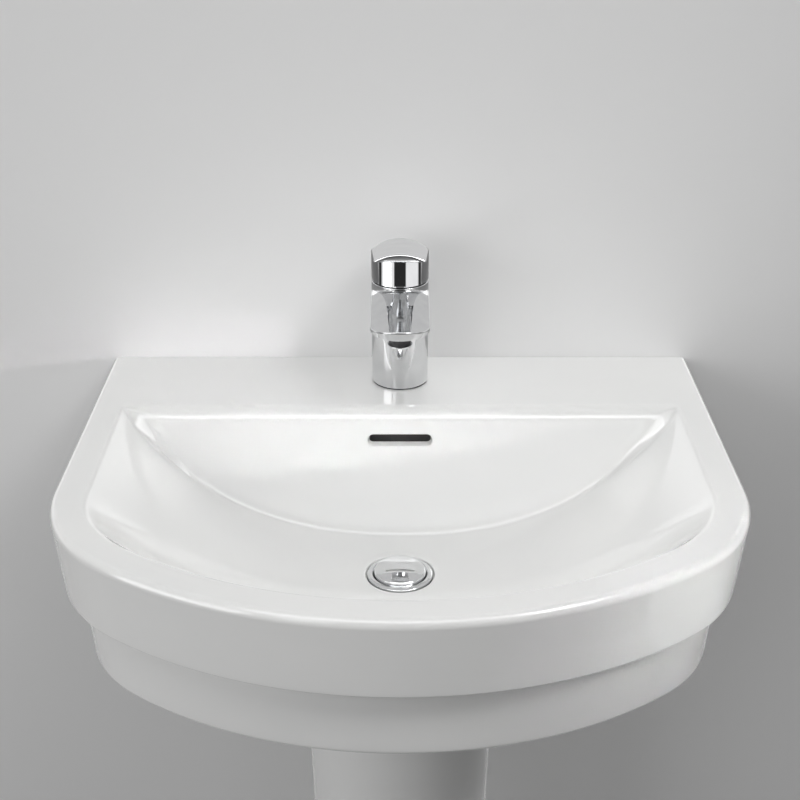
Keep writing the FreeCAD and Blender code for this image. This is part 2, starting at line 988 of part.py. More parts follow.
keep(
    turned(
        "click_capsule",
        [
            (0, capsule_bottom - size.web_height),
            (size.capsule_spigot_radius, capsule_bottom - size.web_height),
            (size.capsule_spigot_radius, capsule_bottom),
            (size.capsule_radius, capsule_bottom),
            (size.capsule_radius, capsule_top),
            (size.spindle_radius + size.running_fit, capsule_top),
            (size.spindle_radius + size.running_fit, capsule_top - size.capsule_head),
            (capsule_bore, capsule_top - size.capsule_head),
            (capsule_bore, capsule_floor),
            (0, capsule_floor),
        ],
        y=drain_y,
    ),
    "plug_cartridge",
)


def make_spring():
    """Coil between the capsule's floor and the spindle's collar."""
    wire = size.spring_wire
    radius = capsule_bore - wire - size.seat_gap
    low = capsule_floor + wire + size.seat_gap
    high = collar_under - wire - size.seat_gap
    steps = int(size.spring_turns_count * size.spring_steps_count)
    points = []
    for step in range(steps + 1):
        turn = 2 * math.pi * step / size.spring_steps_count
        rise = (high - low) * step / steps
        side = Vector(math.cos(turn), math.sin(turn), 0) * radius
        points.append(side + Vector(0, drain_y, low + rise))
    coil = Part.BSplineCurve()
    coil.interpolate(points)
    along = coil.tangent(coil.FirstParameter)[0]
    section = Part.Wire(Part.makeCircle(wire, points[0], along))
    return Part.Wire(coil.toShape()).makePipeShell([section], True, True)


keep(cast("spring_coil", make_spring()), "plug_spring")


# Bottle trap

nut_top = tail_end + size.trap_nut_height - size.trap_nut_lip
washer_bottom = tail_end - size.trap_washer_height - size.running_fit
dip_flange_under = washer_bottom - size.dip_flange_height - size.running_fit
nut_floor = dip_flange_under - size.running_fit
pipe_way = size.pipe_radius + size.seat_gap


def stepped_nut(name, sides, radius, bore, floor, lip, top):
    """Union nut: a wide threaded bore over a lip."""
    blank = prism(f"{name}_blank", sides, radius, top - floor + lip, y=drain_y, z=floor - lip)
    wide = cylinder(f"{name}_wide", bore, top - floor + size.overrun, 0, drain_y, floor)
    narrow = cylinder(
        f"{name}_narrow", pipe_way, lip + size.overrun * 2, 0, drain_y, floor - lip - size.overrun
    )
    return cut(name, blank, wide, narrow)


keep(
    stepped_nut(
        "inlet_union",
        size.nut_sides_count,
        size.trap_nut_radius,
        size.tail_radius + size.running_fit,
        nut_floor,
        size.trap_nut_lip,
        nut_top,
    ),
    "trap_inlet_nut",
)
keep(
    ring(
        "inlet_ring",
        size.pipe_radius,
        size.dip_flange_radius,
        washer_bottom,
        size.trap_washer_height,
        y=drain_y,
    ),
    "trap_inlet_washer",
)
dip_end = dip_flange_under - size.dip_length
keep(
    turned(
        "dip_pipe",
        [
            (size.pipe_radius - size.pipe_wall, dip_end),
            (size.pipe_radius, dip_end),
            (size.pipe_radius, dip_flange_under),
            (size.dip_flange_radius, dip_flange_under),
            (size.dip_flange_radius, dip_flange_under + size.dip_flange_height),
            (size.pipe_radius - size.pipe_wall, dip_flange_under + size.dip_flange_height),
        ],
        y=drain_y,
    ),
    "trap_dip_tube",
)

neck_top = nut_floor - size.trap_nut_lip - size.bottle_drop + size.collar_neck_height
bottle_top = neck_top - size.collar_neck_height
bottle_bottom = bottle_top - size.bottle_height
outlet_z = bottle_top - size.outlet_drop
seal_bore = size.pipe_radius + size.running_fit


def make_bottle():
    """Bottle head with a neck on top and a side outlet towards the wall."""
    inner = size.bottle_radius - size.bottle_wall
    head = turned(
        "bottle_head",
        [
            (inner, bottle_bottom),
            (size.bottle_radius, bottle_bottom),
            (size.bottle_radius, bottle_top),
            (size.collar_neck_radius, bottle_top),
            (size.collar_neck_radius, neck_top),
            (pipe_way, neck_top),
            (pipe_way, bottle_top - size.bottle_roof),
            (inner, bottle_top - size.bottle_roof),
        ],
        y=drain_y,
    )
    start = drain_y + inner
    length = size.outlet_reach - inner
    stub = cylinder("bottle_stub", size.outlet_radius, length, 0, start, outlet_z, ALONG_Y)
    clear = cylinder("bottle_clear", inner, size.bottle_height, 0, drain_y, bottle_bottom)
    roof = cylinder(
        "bottle_roof_keep",
        size.bottle_radius,
        size.bottle_roof,
        0,
        drain_y,
        bottle_top - size.bottle_roof,
    )
    way = cylinder(
        "bottle_way", pipe_way, size.outlet_reach + size.overrun, 0, drain_y, outlet_z, ALONG_Y
    )
    hollow = cut("bottle_hollow", clear, roof)
    return cut("bottle_open", fuse("bottle_solid", head, cut("bottle_spout", stub, hollow)), way)


keep(make_bottle(), "trap_body")
keep(
    ring(
        "top_slip_ring",
        seal_bore,
        size.collar_neck_radius,
        neck_top + size.running_fit,
        size.slip_seal_height,
        y=drain_y,
    ),
    "trap_top_seal",
)


slip_nut_lip_start = size.slip_seal_height + size.running_fit * 2
slip_nut_end = slip_nut_lip_start + size.slip_nut_lip


def slip_nut(name, neck, y, z, turn=None):
    """Nut over a neck's end that presses a seal onto a pipe."""
    low = -size.slip_nut_overlap
    lip = slip_nut_lip_start
    high = slip_nut_end
    length = high - low
    shift = -low
    blank = prism(f"{name}_blank", size.nut_sides_count, size.slip_nut_radius, length)
    wide = cylinder(f"{name}_wide", neck + size.running_fit, shift + lip + size.overrun)
    narrow = cylinder(f"{name}_narrow", pipe_way, length + size.overrun)
    place(wide, z=-size.overrun)
    made = cut(name, blank, wide, narrow)
    if turn:
        return place(made, y=y - shift, z=z, turn=turn)
    return place(made, y=y, z=z - shift)


keep(slip_nut("top_slip_nut", size.collar_neck_radius, drain_y, neck_top), "trap_top_nut")
outlet_y = drain_y + size.outlet_reach
keep(slip_nut("outlet_slip_nut", size.outlet_radius, outlet_y, outlet_z, ALONG_Y), "trap_outlet_nut")
spigot_radius = size.pipe_radius - size.outlet_step
keep(
    ring(
        "outlet_slip_ring",
        spigot_radius + size.running_fit,
        size.outlet_radius,
        size.running_fit,
        size.slip_seal_height,
        y=outlet_y,
        z=outlet_z,
        turn=ALONG_Y,
    ),
    "trap_outlet_seal",
)
pipe_start = outlet_y - size.outlet_grip
pipe_bore = size.pipe_radius - size.pipe_wall
pipe_step = size.outlet_grip + slip_nut_end + size.seat_gap
keep(
    turned(
        "outlet_tube",
        [
            (pipe_bore, 0),
            (spigot_radius, 0),
            (spigot_radius, pipe_step),
            (size.pipe_radius, pipe_step),
            (size.pipe_radius, wall - pipe_start),
            (pipe_bore, wall - pipe_start),
        ],
        y=pipe_start,
        z=outlet_z,
        turn=ALONG_Y,
    ),
    "trap_outlet_pipe",
)

cup_ledge = bottle_bottom - size.cup_seal_height - size.running_fit * 2
cup_bottom = cup_ledge - size.cup_depth
cup_thread = size.bottle_radius + size.running_fit
cup_inner = size.bottle_radius - size.bottle_wall
keep(
    turned(
        "bottle_cup",
        [
            (0, cup_bottom),
            (size.cup_radius, cup_bottom),
            (size.cup_radius, bottle_bottom + size.cup_overlap),
            (cup_thread, bottle_bottom + size.cup_overlap),
            (cup_thread, cup_ledge),
            (cup_inner, cup_ledge),
            (cup_inner, cup_bottom + size.cup_floor),
            (0, cup_bottom + size.cup_floor),
        ],
        y=drain_y,
    ),
    "trap_cup",
)
keep(
    ring(
        "cup_ring",
        cup_inner,
        size.bottle_radius,
        cup_ledge + size.running_fit,
        size.cup_seal_height,
        y=drain_y,
    ),
    "trap_cup_seal",
)


# Tap body

cartridge_seat = rim + size.cartridge_floor
spout_y = tap_y - size.spout_reach
aerator_seat = rim + size.spout_under
stud_y = tap_y - size.stud_front
inlet_y = tap_y + size.inlet_back


def spout_wire(z):
    """Spout from above: as wide as the tap's body, with a round tip."""
    half = size.tap_radius
    root = Vector(half, tap_y, z)
    side = Vector(half, spout_y, z)
    return Part.Wire([
        line(root, side),
        arc(side, Vector(0, spout_y - half, z), flip(side)),
        line(flip(side), flip(root)),
        line(flip(root), root),
    ])


def crowned(radius, start, end):
    """Long cylinder lying just under the ridge line from start to end."""
    run = end - start
    first = start - run
    last = end + run
    down = Vector(0, -run.z, run.y).normalize()
    return rod(radius, (last - first).Length, first + down * radius, run)


def make_spout():
    """Crowned tongue with a flat underside that deepens towards the body."""
    low = rim + size.spout_under_root
    tongue = upright(spout_wire(low), body_top - low)
    front = tap_y - size.tap_radius
    tip = spout_y - size.tap_radius
    ridge_start = Vector(0, front, rim + size.spout_root)
    ridge_end = Vector(0, tip, rim + size.spout_tip)
    under = [
        (front, low - size.overrun),
        (front, low),
        (front - size.spout_under_run, aerator_seat),
        (tip - size.overrun, aerator_seat),
        (tip - size.overrun, low - size.overrun),
    ]
    tongue = tongue.cut(side_slab(under, size.tap_radius + size.overrun))
    return tongue.common(crowned(size.spout_crown, ridge_start, ridge_end))


def make_tap_body():
    """Cast column and spout, bored for the cartridge, the inlets, the stud and the aerator."""
    up = Vector(0, 0, 1)
    axis = Vector(0, tap_y, 0)
    column = rod(size.tap_radius, body_top - tap_base, axis + up * tap_base, up)
    solid = column.fuse(make_spout())
    bore_radius = size.cartridge_radius + size.running_fit
    bore_start = axis + up * cartridge_seat
    tall = size.tap_joint + size.overrun - size.cartridge_floor
    upper_start = axis + up * (rim + size.cartridge_top)
    cuts = [
        rod(bore_radius, tall, bore_start, up),
        rod(size.upper_bore_radius, tall, upper_start, up),
    ]
    for side in (-1, 1):
        inlet = Vector(side * size.inlet_spacing / 2, inlet_y, tap_base - size.overrun)
        thread = size.inlet_depth + size.overrun
        cuts.append(rod(size.inlet_radius, thread, inlet, up))
        feed = inlet + up * thread
        cuts.append(rod(size.feed_radius, cartridge_seat - feed.z + size.overrun, feed, up))
    stud = Vector(0, stud_y, tap_base - size.overrun)
    stud_depth = size.stud_grip - size.base_seal_height + size.overrun
    cuts.append(rod(size.stud_radius + size.running_fit, stud_depth, stud, up))
    socket = Vector(0, spout_y, aerator_seat - size.overrun)
    socket_depth = size.aerator_neck_height + size.aerator_seal_height + size.overrun
    cuts.append(rod(size.aerator_neck + size.running_fit, socket_depth, socket, up))
    way = Vector(0, spout_y, rim + size.waterway_height)
    cuts.append(rod(size.waterway_radius, size.spout_reach, way, Vector(0, 1, 0)))
    return solid.cut(cuts[0].multiFuse(cuts[1:])).removeSplitter()


keep(cast("tap_casting", make_tap_body()), "tap_body")
keep(
    ring(
        "base_ring",
        size.base_seal_bore,
        size.base_seal_radius,
        rim,
        size.base_seal_height,
        y=tap_y,
    ),
    "tap_base_seal",
)

aerator_low = aerator_seat - size.aerator_drop
aerator_shoulder = aerator_seat - size.running_fit
aerator_top = aerator_seat + size.aerator_neck_height - size.running_fit
aerator_mouth = size.aerator_bore - size.aerator_lip
keep(
    turned(
        "aerator_ring",
        [
            (aerator_mouth, aerator_low),
            (size.aerator_radius, aerator_low),
            (size.aerator_radius, aerator_shoulder),
            (size.aerator_neck, aerator_shoulder),
            (size.aerator_neck, aerator_top),
            (size.aerator_bore, aerator_top),
            (size.aerator_bore, aerator_low + size.aerator_lip),
            (aerator_mouth, aerator_low + size.aerator_lip),
        ],
        y=spout_y,
    ),
    "aerator_housing",
)
insert_bottom = aerator_low + size.aerator_lip
keep(
    cylinder(
        "aerator_core",
        size.aerator_bore - size.running_fit,
        aerator_top - insert_bottom,
        0,
        spout_y,
        insert_bottom,
    ),
    "aerator_insert",
)
keep(
    ring(
        "aerator_washer",
        size.aerator_seal_bore,
        size.aerator_neck - size.seat_gap,
        aerator_top,
        size.aerator_seal_height,
        y=spout_y,
    ),
    "aerator_seal",
)

stud_bottom = rim - size.deck_thickness - size.stud_drop
stud_top = rim + size.stud_grip - size.running_fit
keep(
    cylinder("stud_rod", size.stud_radius, stud_top - stud_bottom, 0, stud_y, stud_bottom),
    "fixing_stud",
)


def horseshoe(name, height, top):
    """Round clamp piece, slotted for the supply tails and drilled for the stud."""
    low = top - height
    disc = cylinder(f"{name}_disc", size.clamp_radius, height, 0, tap_y, low)
    slot = box(
        f"{name}_slot",
        size.clamp_slot,
        size.clamp_radius + size.clamp_slot_front + size.overrun,
        height + size.overrun * 2,
        y=tap_y - size.clamp_slot_front,
        z=low - size.overrun,
    )
    hole = cylinder(
        f"{name}_hole",
        size.stud_radius + size.seat_gap,
        height + size.overrun * 2,
        0,
        stud_y,
        low - size.overrun,
    )
    return cut(name, disc, slot, hole)


deck_under = rim - size.deck_thickness
gasket_under = deck_under - size.clamp_gasket_height
plate_under = gasket_under - size.clamp_plate_height
keep(horseshoe("clamp_rubber", size.clamp_gasket_height, deck_under), "clamp_gasket")
keep(horseshoe("clamp_steel", size.clamp_plate_height, gasket_under), "clamp_plate")
keep(
    drilled_nut(
        "stud_nut",
        size.hex_sides_count,
        size.clamp_nut_radius,
        size.clamp_nut_height,
        size.stud_radius + size.running_fit,
        stud_y,
        plate_under - size.clamp_nut_height,
    ),
    "clamp_nut",
)


# Cartridge

shell_bottom = cartridge_seat + size.port_seal_height
shell_top = rim + size.cartridge_top
chamber_floor = rim + size.cartridge_chamber
lip_under = shell_top - size.cartridge_lip
lip_bore = size.carrier_radius + size.running_fit


def ports(name, radius, bottom, height):
    """The two upright water ways, hot and cold."""
    return [
        cylinder(
            f"{name}_{side_name}", radius, height, size.port_spacing * side / 2, inlet_y, bottom
        )
        for side_name, side in (("hot", -1), ("cold", 1))
    ]


shell = turned(
    "cartridge_shell",
    [
        (0, shell_bottom),
        (size.cartridge_radius, shell_bottom),
        (size.cartridge_radius, shell_top),
        (lip_bore, shell_top),
        (lip_bore, lip_under),
        (size.cartridge_chamber_radius, lip_under),
        (size.cartridge_chamber_radius, chamber_floor),
        (0, chamber_floor),
    ],
    y=tap_y,
)
shell_ports = ports(
    "shell_port",
    size.port_radius,
    shell_bottom - size.overrun,
    chamber_floor - shell_bottom + size.overrun * 2,
)
keep(cut("cartridge_ported", shell, *shell_ports), "cartridge_housing")

seal_discs = ports("port_seal", size.port_seal_radius, cartridge_seat, size.port_seal_height)
seal_holes = ports(
    "port_seal_hole",
    size.feed_radius,
    cartridge_seat - size.overrun,
    size.port_seal_height + size.overrun * 2,
)
seal_rings = [
    cut(f"port_ring_{index}", disc, hole)
    for index, (disc, hole) in enumerate(zip(seal_discs, seal_holes))
]
keep(group("port_rings", *seal_rings), "cartridge_seals")

lower_disc = cylinder("lower_disc", size.disc_radius, size.disc_height, 0, tap_y, chamber_floor)
disc_ports = ports(
    "disc_port", size.port_radius, chamber_floor - size.overrun, size.disc_height + size.overrun * 2
)
keep(cut("lower_disc_ported", lower_disc, *disc_ports), "fixed_disc")

slider_bottom = chamber_floor + size.disc_height + size.running_fit
slider_top = slider_bottom + size.slider_height
slider_y = tap_y + size.slider_offset
slider_blank = cylinder(
    "slider_blank", size.slider_radius, size.slider_height, 0, slider_y, slider_bottom
)
slider_pocket = box(
    "slider_pocket",
    size.stem_width + size.seat_gap * 2,
    size.slider_pocket_length,
    size.slider_pocket_depth + size.overrun,
    y=tap_y - size.slider_pocket_length / 2,
    z=slider_top - size.slider_pocket_depth,
)
keep(cut("slider", slider_blank, slider_pocket), "moving_disc")

flange_over = lip_under - size.running_fit
carrier_blank = turned(
    "carrier_blank",
    [
        (0, flange_over - size.carrier_flange),
        (size.carrier_flange_radius, flange_over - size.carrier_flange),
        (size.carrier_flange_radius, flange_over),
        (size.carrier_radius, flange_over),
        (size.carrier_radius, rim + size.carrier_top),
        (0, rim + size.carrier_top),
    ],
    y=tap_y,
)
carrier_slot = box(
    "carrier_slot",
    size.stem_width + size.seat_gap * 2,
    size.carrier_slot_front + size.carrier_slot_back,
    size.carrier_top,
    y=tap_y - size.carrier_slot_front,
    z=flange_over - size.carrier_flange - size.overrun,
)
pin_x = size.pivot_length / -2
carrier_pin_hole = cylinder(
    "carrier_pin_hole",
    size.pivot_radius + size.running_fit / 2,
    size.pivot_length + size.overrun * 2,
    pin_x - size.overrun,
    tap_y,
    pivot_z,
    ALONG_X,
)
keep(cut("carrier", carrier_blank, carrier_slot, carrier_pin_hole), "spindle_carrier")
keep(
    cylinder("pin_rod", size.pivot_radius, size.pivot_length, pin_x, tap_y, pivot_z, ALONG_X),
    "pivot_pin",
)

tail_z = pivot_z - size.tail_arm
waist_z = tail_z + size.tail_tip_radius + size.running_fit
stem_bar = box(
    "stem_bar",
    size.stem_width,
    size.stem_width,
    rim + size.stem_top - waist_z,
    y=tap_y - size.stem_width / 2,
    z=waist_z,
)
stem_tail = box(
    "stem_tail",
    size.stem_width,
    size.tail_width,
    waist_z - tail_z,
    y=tap_y - size.tail_width / 2,
    z=tail_z,
)
stem_tip = cylinder(
    "stem_tip",
    size.tail_tip_radius,
    size.stem_width,
    size.stem_width / -2,
    tap_y,
    tail_z,
    ALONG_X,
)
stem_pin_hole = cylinder(
    "stem_pin_hole",
    size.pivot_radius + size.running_fit,
    size.stem_width + size.overrun * 2,
    size.stem_width / -2 - size.overrun,
    tap_y,
    pivot_z,
    ALONG_X,
)
keep(cut("stem", fuse("stem_solid", stem_bar, stem_tail, stem_tip), stem_pin_hole), "lever_stem")

retainer_bottom = shell_top + size.running_fit
keep(
    ring(
        "retainer",
        size.retainer_bore,
        size.upper_bore_radius - size.running_fit,
        retainer_bottom,
        size.retainer_height,
        y=tap_y,
    ),
    "cartridge_nut",
)


def make_dome():
    """Ball-shaped cover under the handle with a skirt in the body's bore."""
    skirt_bottom = retainer_bottom + size.retainer_height + size.running_fit
    skirt_top = body_top + size.dome_wall
    outer = size.upper_bore_radius - size.running_fit
    skirt = ring(
        "dome_skirt", outer - size.dome_skirt_wall, outer, skirt_bottom, skirt_top - skirt_bottom, tap_y
    )
    reach = Size(
        math.sqrt(size.dome_radius**2 - size.dome_opening**2),
        f"sqrt({size.dome_radius.text}^2 - {size.dome_opening.text}^2)",
    )
    ball = sphere("dome_ball", size.dome_radius, 0, tap_y, pivot_z)
    inside = sphere("dome_inside", size.dome_radius - size.dome_wall, 0, tap_y, pivot_z)
    bottom = body_top + size.running_fit
    zone = cylinder("dome_zone", size.dome_radius, pivot_z + reach - bottom, 0, tap_y, bottom)
    cap = cut("dome_cap", common("dome_slice", ball, zone), inside)
    floor = ring(
        "dome_floor",
        outer - size.dome_skirt_wall,
        size.dome_radius - size.dome_wall / 2,
        bottom,
        size.dome_wall,
        tap_y,
    )
    return fuse("dome", cap, floor, skirt)


keep(make_dome(), "dome_cover")


# Lever handle


def lever_wire(z):
    """Handle from above: a round hub that runs out into a slightly narrower tongue."""
    half = size.tap_radius
    tip_y = tap_y - size.lever_reach
    side = Vector(half, tap_y, z)
    tip = Vector(size.lever_tip_half, tip_y, z)
    return Part.Wire([
        line(side, tip),
        line(tip, flip(tip)),
        line(flip(tip), flip(side)),
        arc(flip(side), Vector(0, tap_y + half, z), side),
    ])


def make_handle():
    """Crowned lever over a hub that clears the dome, with a socket for the stem."""
    up = Vector(0, 0, 1)
    half = size.tap_radius
    axis = Vector(0, tap_y, 0)
    top = rim + size.lever_tip_height + size.overrun
    back_y = tap_y + half
    tip_y = tap_y - size.lever_reach
    ridge_start = Vector(0, back_y, rim + size.handle_back_height)
    ridge_end = Vector(0, tip_y, rim + size.lever_tip_height)
    slope = (ridge_end.z - ridge_start.z) / (back_y - tip_y)
    hub_front_z = ridge_start.z + slope * 2 * half
    under_back = ridge_start.z - size.lever_thickness
    under_tip = ridge_end.z - size.lever_thickness
    hub = rod(half, hub_front_z - handle_bottom, axis + up * handle_bottom, up)
    tongue = upright(lever_wire(handle_bottom), top - handle_bottom)
    below = side_slab(
        [
            (back_y + size.overrun, handle_bottom - size.overrun),
            (back_y + size.overrun, under_back - slope * size.overrun),
            (tip_y - size.overrun, under_tip + slope * size.overrun),
            (tip_y - size.overrun, handle_bottom - size.overrun),
        ],
        half + size.overrun,
    )
    solid = hub.fuse(tongue.cut(below))
    solid = solid.common(crowned(size.lever_crown, ridge_start, ridge_end))
    relief = math.tan(math.radians(size.lift_angle + size.lift_spare_angle))
    wedge = side_slab(
        [
            (tap_y, handle_bottom),
            (back_y + size.overrun, handle_bottom + relief * (half + size.overrun)),
            (back_y + size.overrun, handle_bottom - size.overrun),
            (tap_y, handle_bottom - size.overrun),
        ],
        half + size.overrun,
    )
    solid = solid.cut(wedge)
    pivot = axis + up * pivot_z
    cavity = Part.makeSphere(size.handle_cavity, pivot)
    boss_low = axis + up * (rim + size.boss_bottom)
    boss = rod(size.boss_radius, size.handle_cavity, boss_low, up)
    solid = solid.cut(cavity.cut(boss))
    socket_width = size.stem_width + size.running_fit * 2
    socket_y = tap_y - socket_width / 2
    socket_low = rim + size.boss_bottom - size.overrun
    socket_high = rim + size.stem_top + size.running_fit
    solid = solid.cut(
        block(socket_width, socket_width, socket_high - socket_low, 0, socket_y, socket_low)
    )
    grub_start = Vector(0, tap_y, rim + size.grub_height)
    backward = Vector(0, 1, 0)
    solid = solid.cut(rod(size.grub_radius + size.running_fit, half * 2, grub_start, backward))
    index_start = grub_start + backward * (half - size.index_depth)
    solid = solid.cut(rod(size.index_radius + size.running_fit, half, index_start, backward))
    return solid.removeSplitter()


keep(cast("handle_casting", make_handle()), "lever_handle")
grub_y = tap_y + size.stem_width / 2 + size.running_fit
keep(
    cylinder(
        "grub_rod", size.grub_radius, size.grub_length, 0, grub_y, rim + size.grub_height, ALONG_Y
    ),
    "grub_screw",
)
index_y = tap_y + size.tap_radius - size.index_depth
index_blank = cylinder(
    "index_blank",
    size.index_radius,
    size.index_depth + size.overrun,
    0,
    index_y,
    rim + size.grub_height,
    ALONG_Y,
)
index_round = cylinder("index_round", size.tap_radius, size.lever_tip_height, 0, tap_y, rim)
keep(common("index_cap", index_blank, index_round), "index_plug")


# Checks and export

doc.recompute()
faults = [item.Name for item in doc.Objects if {"Invalid", "Error"} & set(item.State)]
for item in nodes:
    if item.Shape.isNull() or not item.Shape.isValid():
        faults.append(item.Label)
if faults:
    raise RuntimeError("pieces that failed: " + ", ".join(faults))

os.makedirs("parts", exist_ok=True)
for item in nodes:
    item.Shape.exportStep(f"parts/{item.Label}.step")
    print(f"{item.Label}: {len(item.Shape.Solids)} solid, {item.Shape.Volume:.0f} mm3")
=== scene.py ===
import json
import logging
import math
from collections.abc import Sequence
from dataclasses import dataclass
from enum import Enum

import bmesh
import bpy
import numpy as np
from mathutils import Matrix, Vector
from mathutils.kdtree import KDTree


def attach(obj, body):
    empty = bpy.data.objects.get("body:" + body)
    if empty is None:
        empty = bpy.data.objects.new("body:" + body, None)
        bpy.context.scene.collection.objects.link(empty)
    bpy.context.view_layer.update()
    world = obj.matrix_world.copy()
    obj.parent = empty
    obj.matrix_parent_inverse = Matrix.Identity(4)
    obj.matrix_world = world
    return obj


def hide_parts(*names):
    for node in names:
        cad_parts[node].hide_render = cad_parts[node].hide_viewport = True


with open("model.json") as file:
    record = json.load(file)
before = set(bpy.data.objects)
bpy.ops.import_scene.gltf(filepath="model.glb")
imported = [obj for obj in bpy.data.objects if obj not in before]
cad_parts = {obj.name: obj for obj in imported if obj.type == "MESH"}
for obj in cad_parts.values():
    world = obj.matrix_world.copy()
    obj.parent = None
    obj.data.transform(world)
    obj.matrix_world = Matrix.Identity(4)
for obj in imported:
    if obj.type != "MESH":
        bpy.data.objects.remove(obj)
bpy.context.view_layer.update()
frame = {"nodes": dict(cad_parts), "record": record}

MM = 0.001
WELD = 1e-6
CUT_WELD = 3 * WELD
TINY = 1e-9
ROUND_STEPS = 6
ARC_SHARE = 0.49  # most of a side that one rounding may use
CREASE = math.radians(35)
QUARTER_TURN = np.radians((22.5, 45, 67.5, 90))
COARSE_TURN = np.radians((30, 60, 90))
FAR = 1000.0
HALVINGS = 48
LOG = logging.getLogger("washbasin")

Corner = tuple[float, float, float]
Colour = tuple[float, float, float]
Span = tuple[float, float]
Place = tuple[float, float, float]
Rod = tuple[Vector, Vector, float]
Socket = bpy.types.NodeSocket
Value = bpy.types.NodeSocket | float


class Cut(Enum):
    """How a tool piece works on a blank."""

    TAKE = "DIFFERENCE"
    JOIN = "UNION"


class Glow(Enum):
    """Which kind of surface a lamp lights."""

    ALL = "all"
    GLOSS = "gloss"
    MATT = "matt"


class Slot(Enum):
    """Material slots of the record."""

    GLAZE = "glaze"
    CHROME = "chrome"
    BRASS = "brass"
    STEEL = "steel"
    RUBBER = "rubber"
    WHITE_PLASTIC = "white_plastic"
    GREY_PLASTIC = "grey_plastic"
    DISC_CERAMIC = "disc_ceramic"


# Mesh helpers: lengths are in millimetres until a mesh is made


def as_object(mesh: bmesh.types.BMesh, name: str) -> bpy.types.Object:
    """Turn a bmesh into an object in the scene.

    Args:
        mesh: The finished bmesh, which is freed.
        name: Name of the object and of its mesh.

    Returns:
        The new object, at the origin.
    """
    data = bpy.data.meshes.new(name)
    mesh.to_mesh(data)
    mesh.free()
    made = bpy.data.objects.new(name, data)
    bpy.context.scene.collection.objects.link(made)
    return made


def bake(piece: bpy.types.Object) -> None:
    """Apply a piece's modifiers to its mesh.

    Args:
        piece: The object whose modifiers are used up.
    """
    seen = piece.evaluated_get(bpy.context.evaluated_depsgraph_get())
    data = bpy.data.meshes.new_from_object(seen)
    used = piece.data
    piece.modifiers.clear()
    piece.data = data
    bpy.data.meshes.remove(used)
    data.name = piece.name


def work(blank: bpy.types.Object, tool: bpy.types.Object, cut: Cut) -> None:
    """Cut a tool piece out of a blank or join it on, and use the tool up.

    Args:
        blank: The piece that changes.
        tool: The closed piece that is taken away or joined.
        cut: What to do with it.
    """
    step = blank.modifiers.new("work", "BOOLEAN")
    step.object = tool
    step.operation = cut.value
    step.solver = "EXACT"
    step.material_mode = "TRANSFER"
    bake(blank)
    mesh = bmesh.new()
    mesh.from_mesh(blank.data)
    bmesh.ops.remove_doubles(mesh, verts=mesh.verts, dist=CUT_WELD)
    bmesh.ops.dissolve_degenerate(mesh, dist=CUT_WELD, edges=mesh.edges)
    mesh.to_mesh(blank.data)
    mesh.free()
    data = tool.data
    bpy.data.objects.remove(tool)
    bpy.data.meshes.remove(data)


def polish(piece: bpy.types.Object) -> bpy.types.Object:
    """Shade a piece smooth, with creases where it folds sharply.

    Args:
        piece: The finished mesh piece.

    Returns:
        The same piece.
    """
    piece.data.shade_smooth()
    piece.data.set_sharp_from_angle(angle=CREASE)
    return piece


def rounded(corners: Sequence[Corner], closed: bool) -> list[Vector]:
    """Round the corners of an outline.

    Args:
        corners: Two coordinates and a rounding radius for each corner.
        closed: Whether the last corner joins the first.

    Returns:
        Points of the outline with an arc at each rounded corner.
    """
    path = []
    for index, (across, up, radius) in enumerate(corners):
        here = Vector((across, up))
        if not radius or (not closed and index in (0, len(corners) - 1)):
            path.append(here)
            continue
        behind = Vector(corners[index - 1][:2]) - here
        ahead = Vector(corners[(index + 1) % len(corners)][:2]) - here
        half = behind.angle(ahead) / 2
        longest = ARC_SHARE * min(behind.length, ahead.length)
        reach = min(radius / math.tan(half), longest)
        radius = reach * math.tan(half)
        bisector = (behind.normalized() + ahead.normalized()).normalized()
        centre = here + bisector * (radius / math.sin(half))
        start = here + behind.normalized() * reach - centre
        end = here + ahead.normalized() * reach - centre
        for step in range(ROUND_STEPS + 1):
            path.append(centre + start.lerp(end, step / ROUND_STEPS).normalized() * radius)
    return path


def spun(
    name: str, corners: Sequence[Corner], y: float, closed: bool = False, steps: int = 128
) -> bpy.types.Object:
    """Spin an outline about an upright axis.

    Args:
        name: Name of the piece.
        corners: Radius, height and rounding of each corner.
        y: Where the axis stands on the middle plane.
        closed: Whether the outline is a ring's, clear of the axis.
        steps: Facets round the axis.

    Returns:
        The closed round body.
    """
    mesh = bmesh.new()
    path = rounded(corners, closed)
    verts = [mesh.verts.new((point.x * MM, 0, point.y * MM)) for point in path]
    ends = verts[1:] + verts[:1] if closed else verts[1:]
    edges = [mesh.edges.new(pair) for pair in zip(verts, ends)]
    bmesh.ops.spin(
        mesh,
        geom=verts + edges,
        cent=(0, 0, 0),
        axis=(0, 0, 1),
        angle=math.tau,
        steps=steps,
        use_merge=True,
    )
    bmesh.ops.remove_doubles(mesh, verts=mesh.verts, dist=WELD)
    bmesh.ops.recalc_face_normals(mesh, faces=mesh.faces)
    bmesh.ops.translate(mesh, verts=mesh.verts, vec=(0, y * MM, 0))
    return as_object(mesh, name)


def rods(name: str, ends: Sequence[Rod], sides: int = 64) -> bpy.types.Object:
    """Straight round rods, to drill with or to join on.

    Args:
        name: Name of the piece.
        ends: Start, end and radius of each rod.
        sides: Facets round each rod.

    Returns:
        One object that holds all the rods.
    """
    mesh = bmesh.new()
    for start, end, radius in ends:
        along = (end - start) * MM
        turn = along.to_track_quat("Z", "Y").to_matrix().to_4x4()
        middle = Matrix.Translation((start + end) * MM / 2)
        bmesh.ops.create_cone(
            mesh,
            cap_ends=True,
            segments=sides,
            radius1=radius * MM,
            radius2=radius * MM,
            depth=along.length,
            matrix=middle @ turn,
        )
    return as_object(mesh, name)


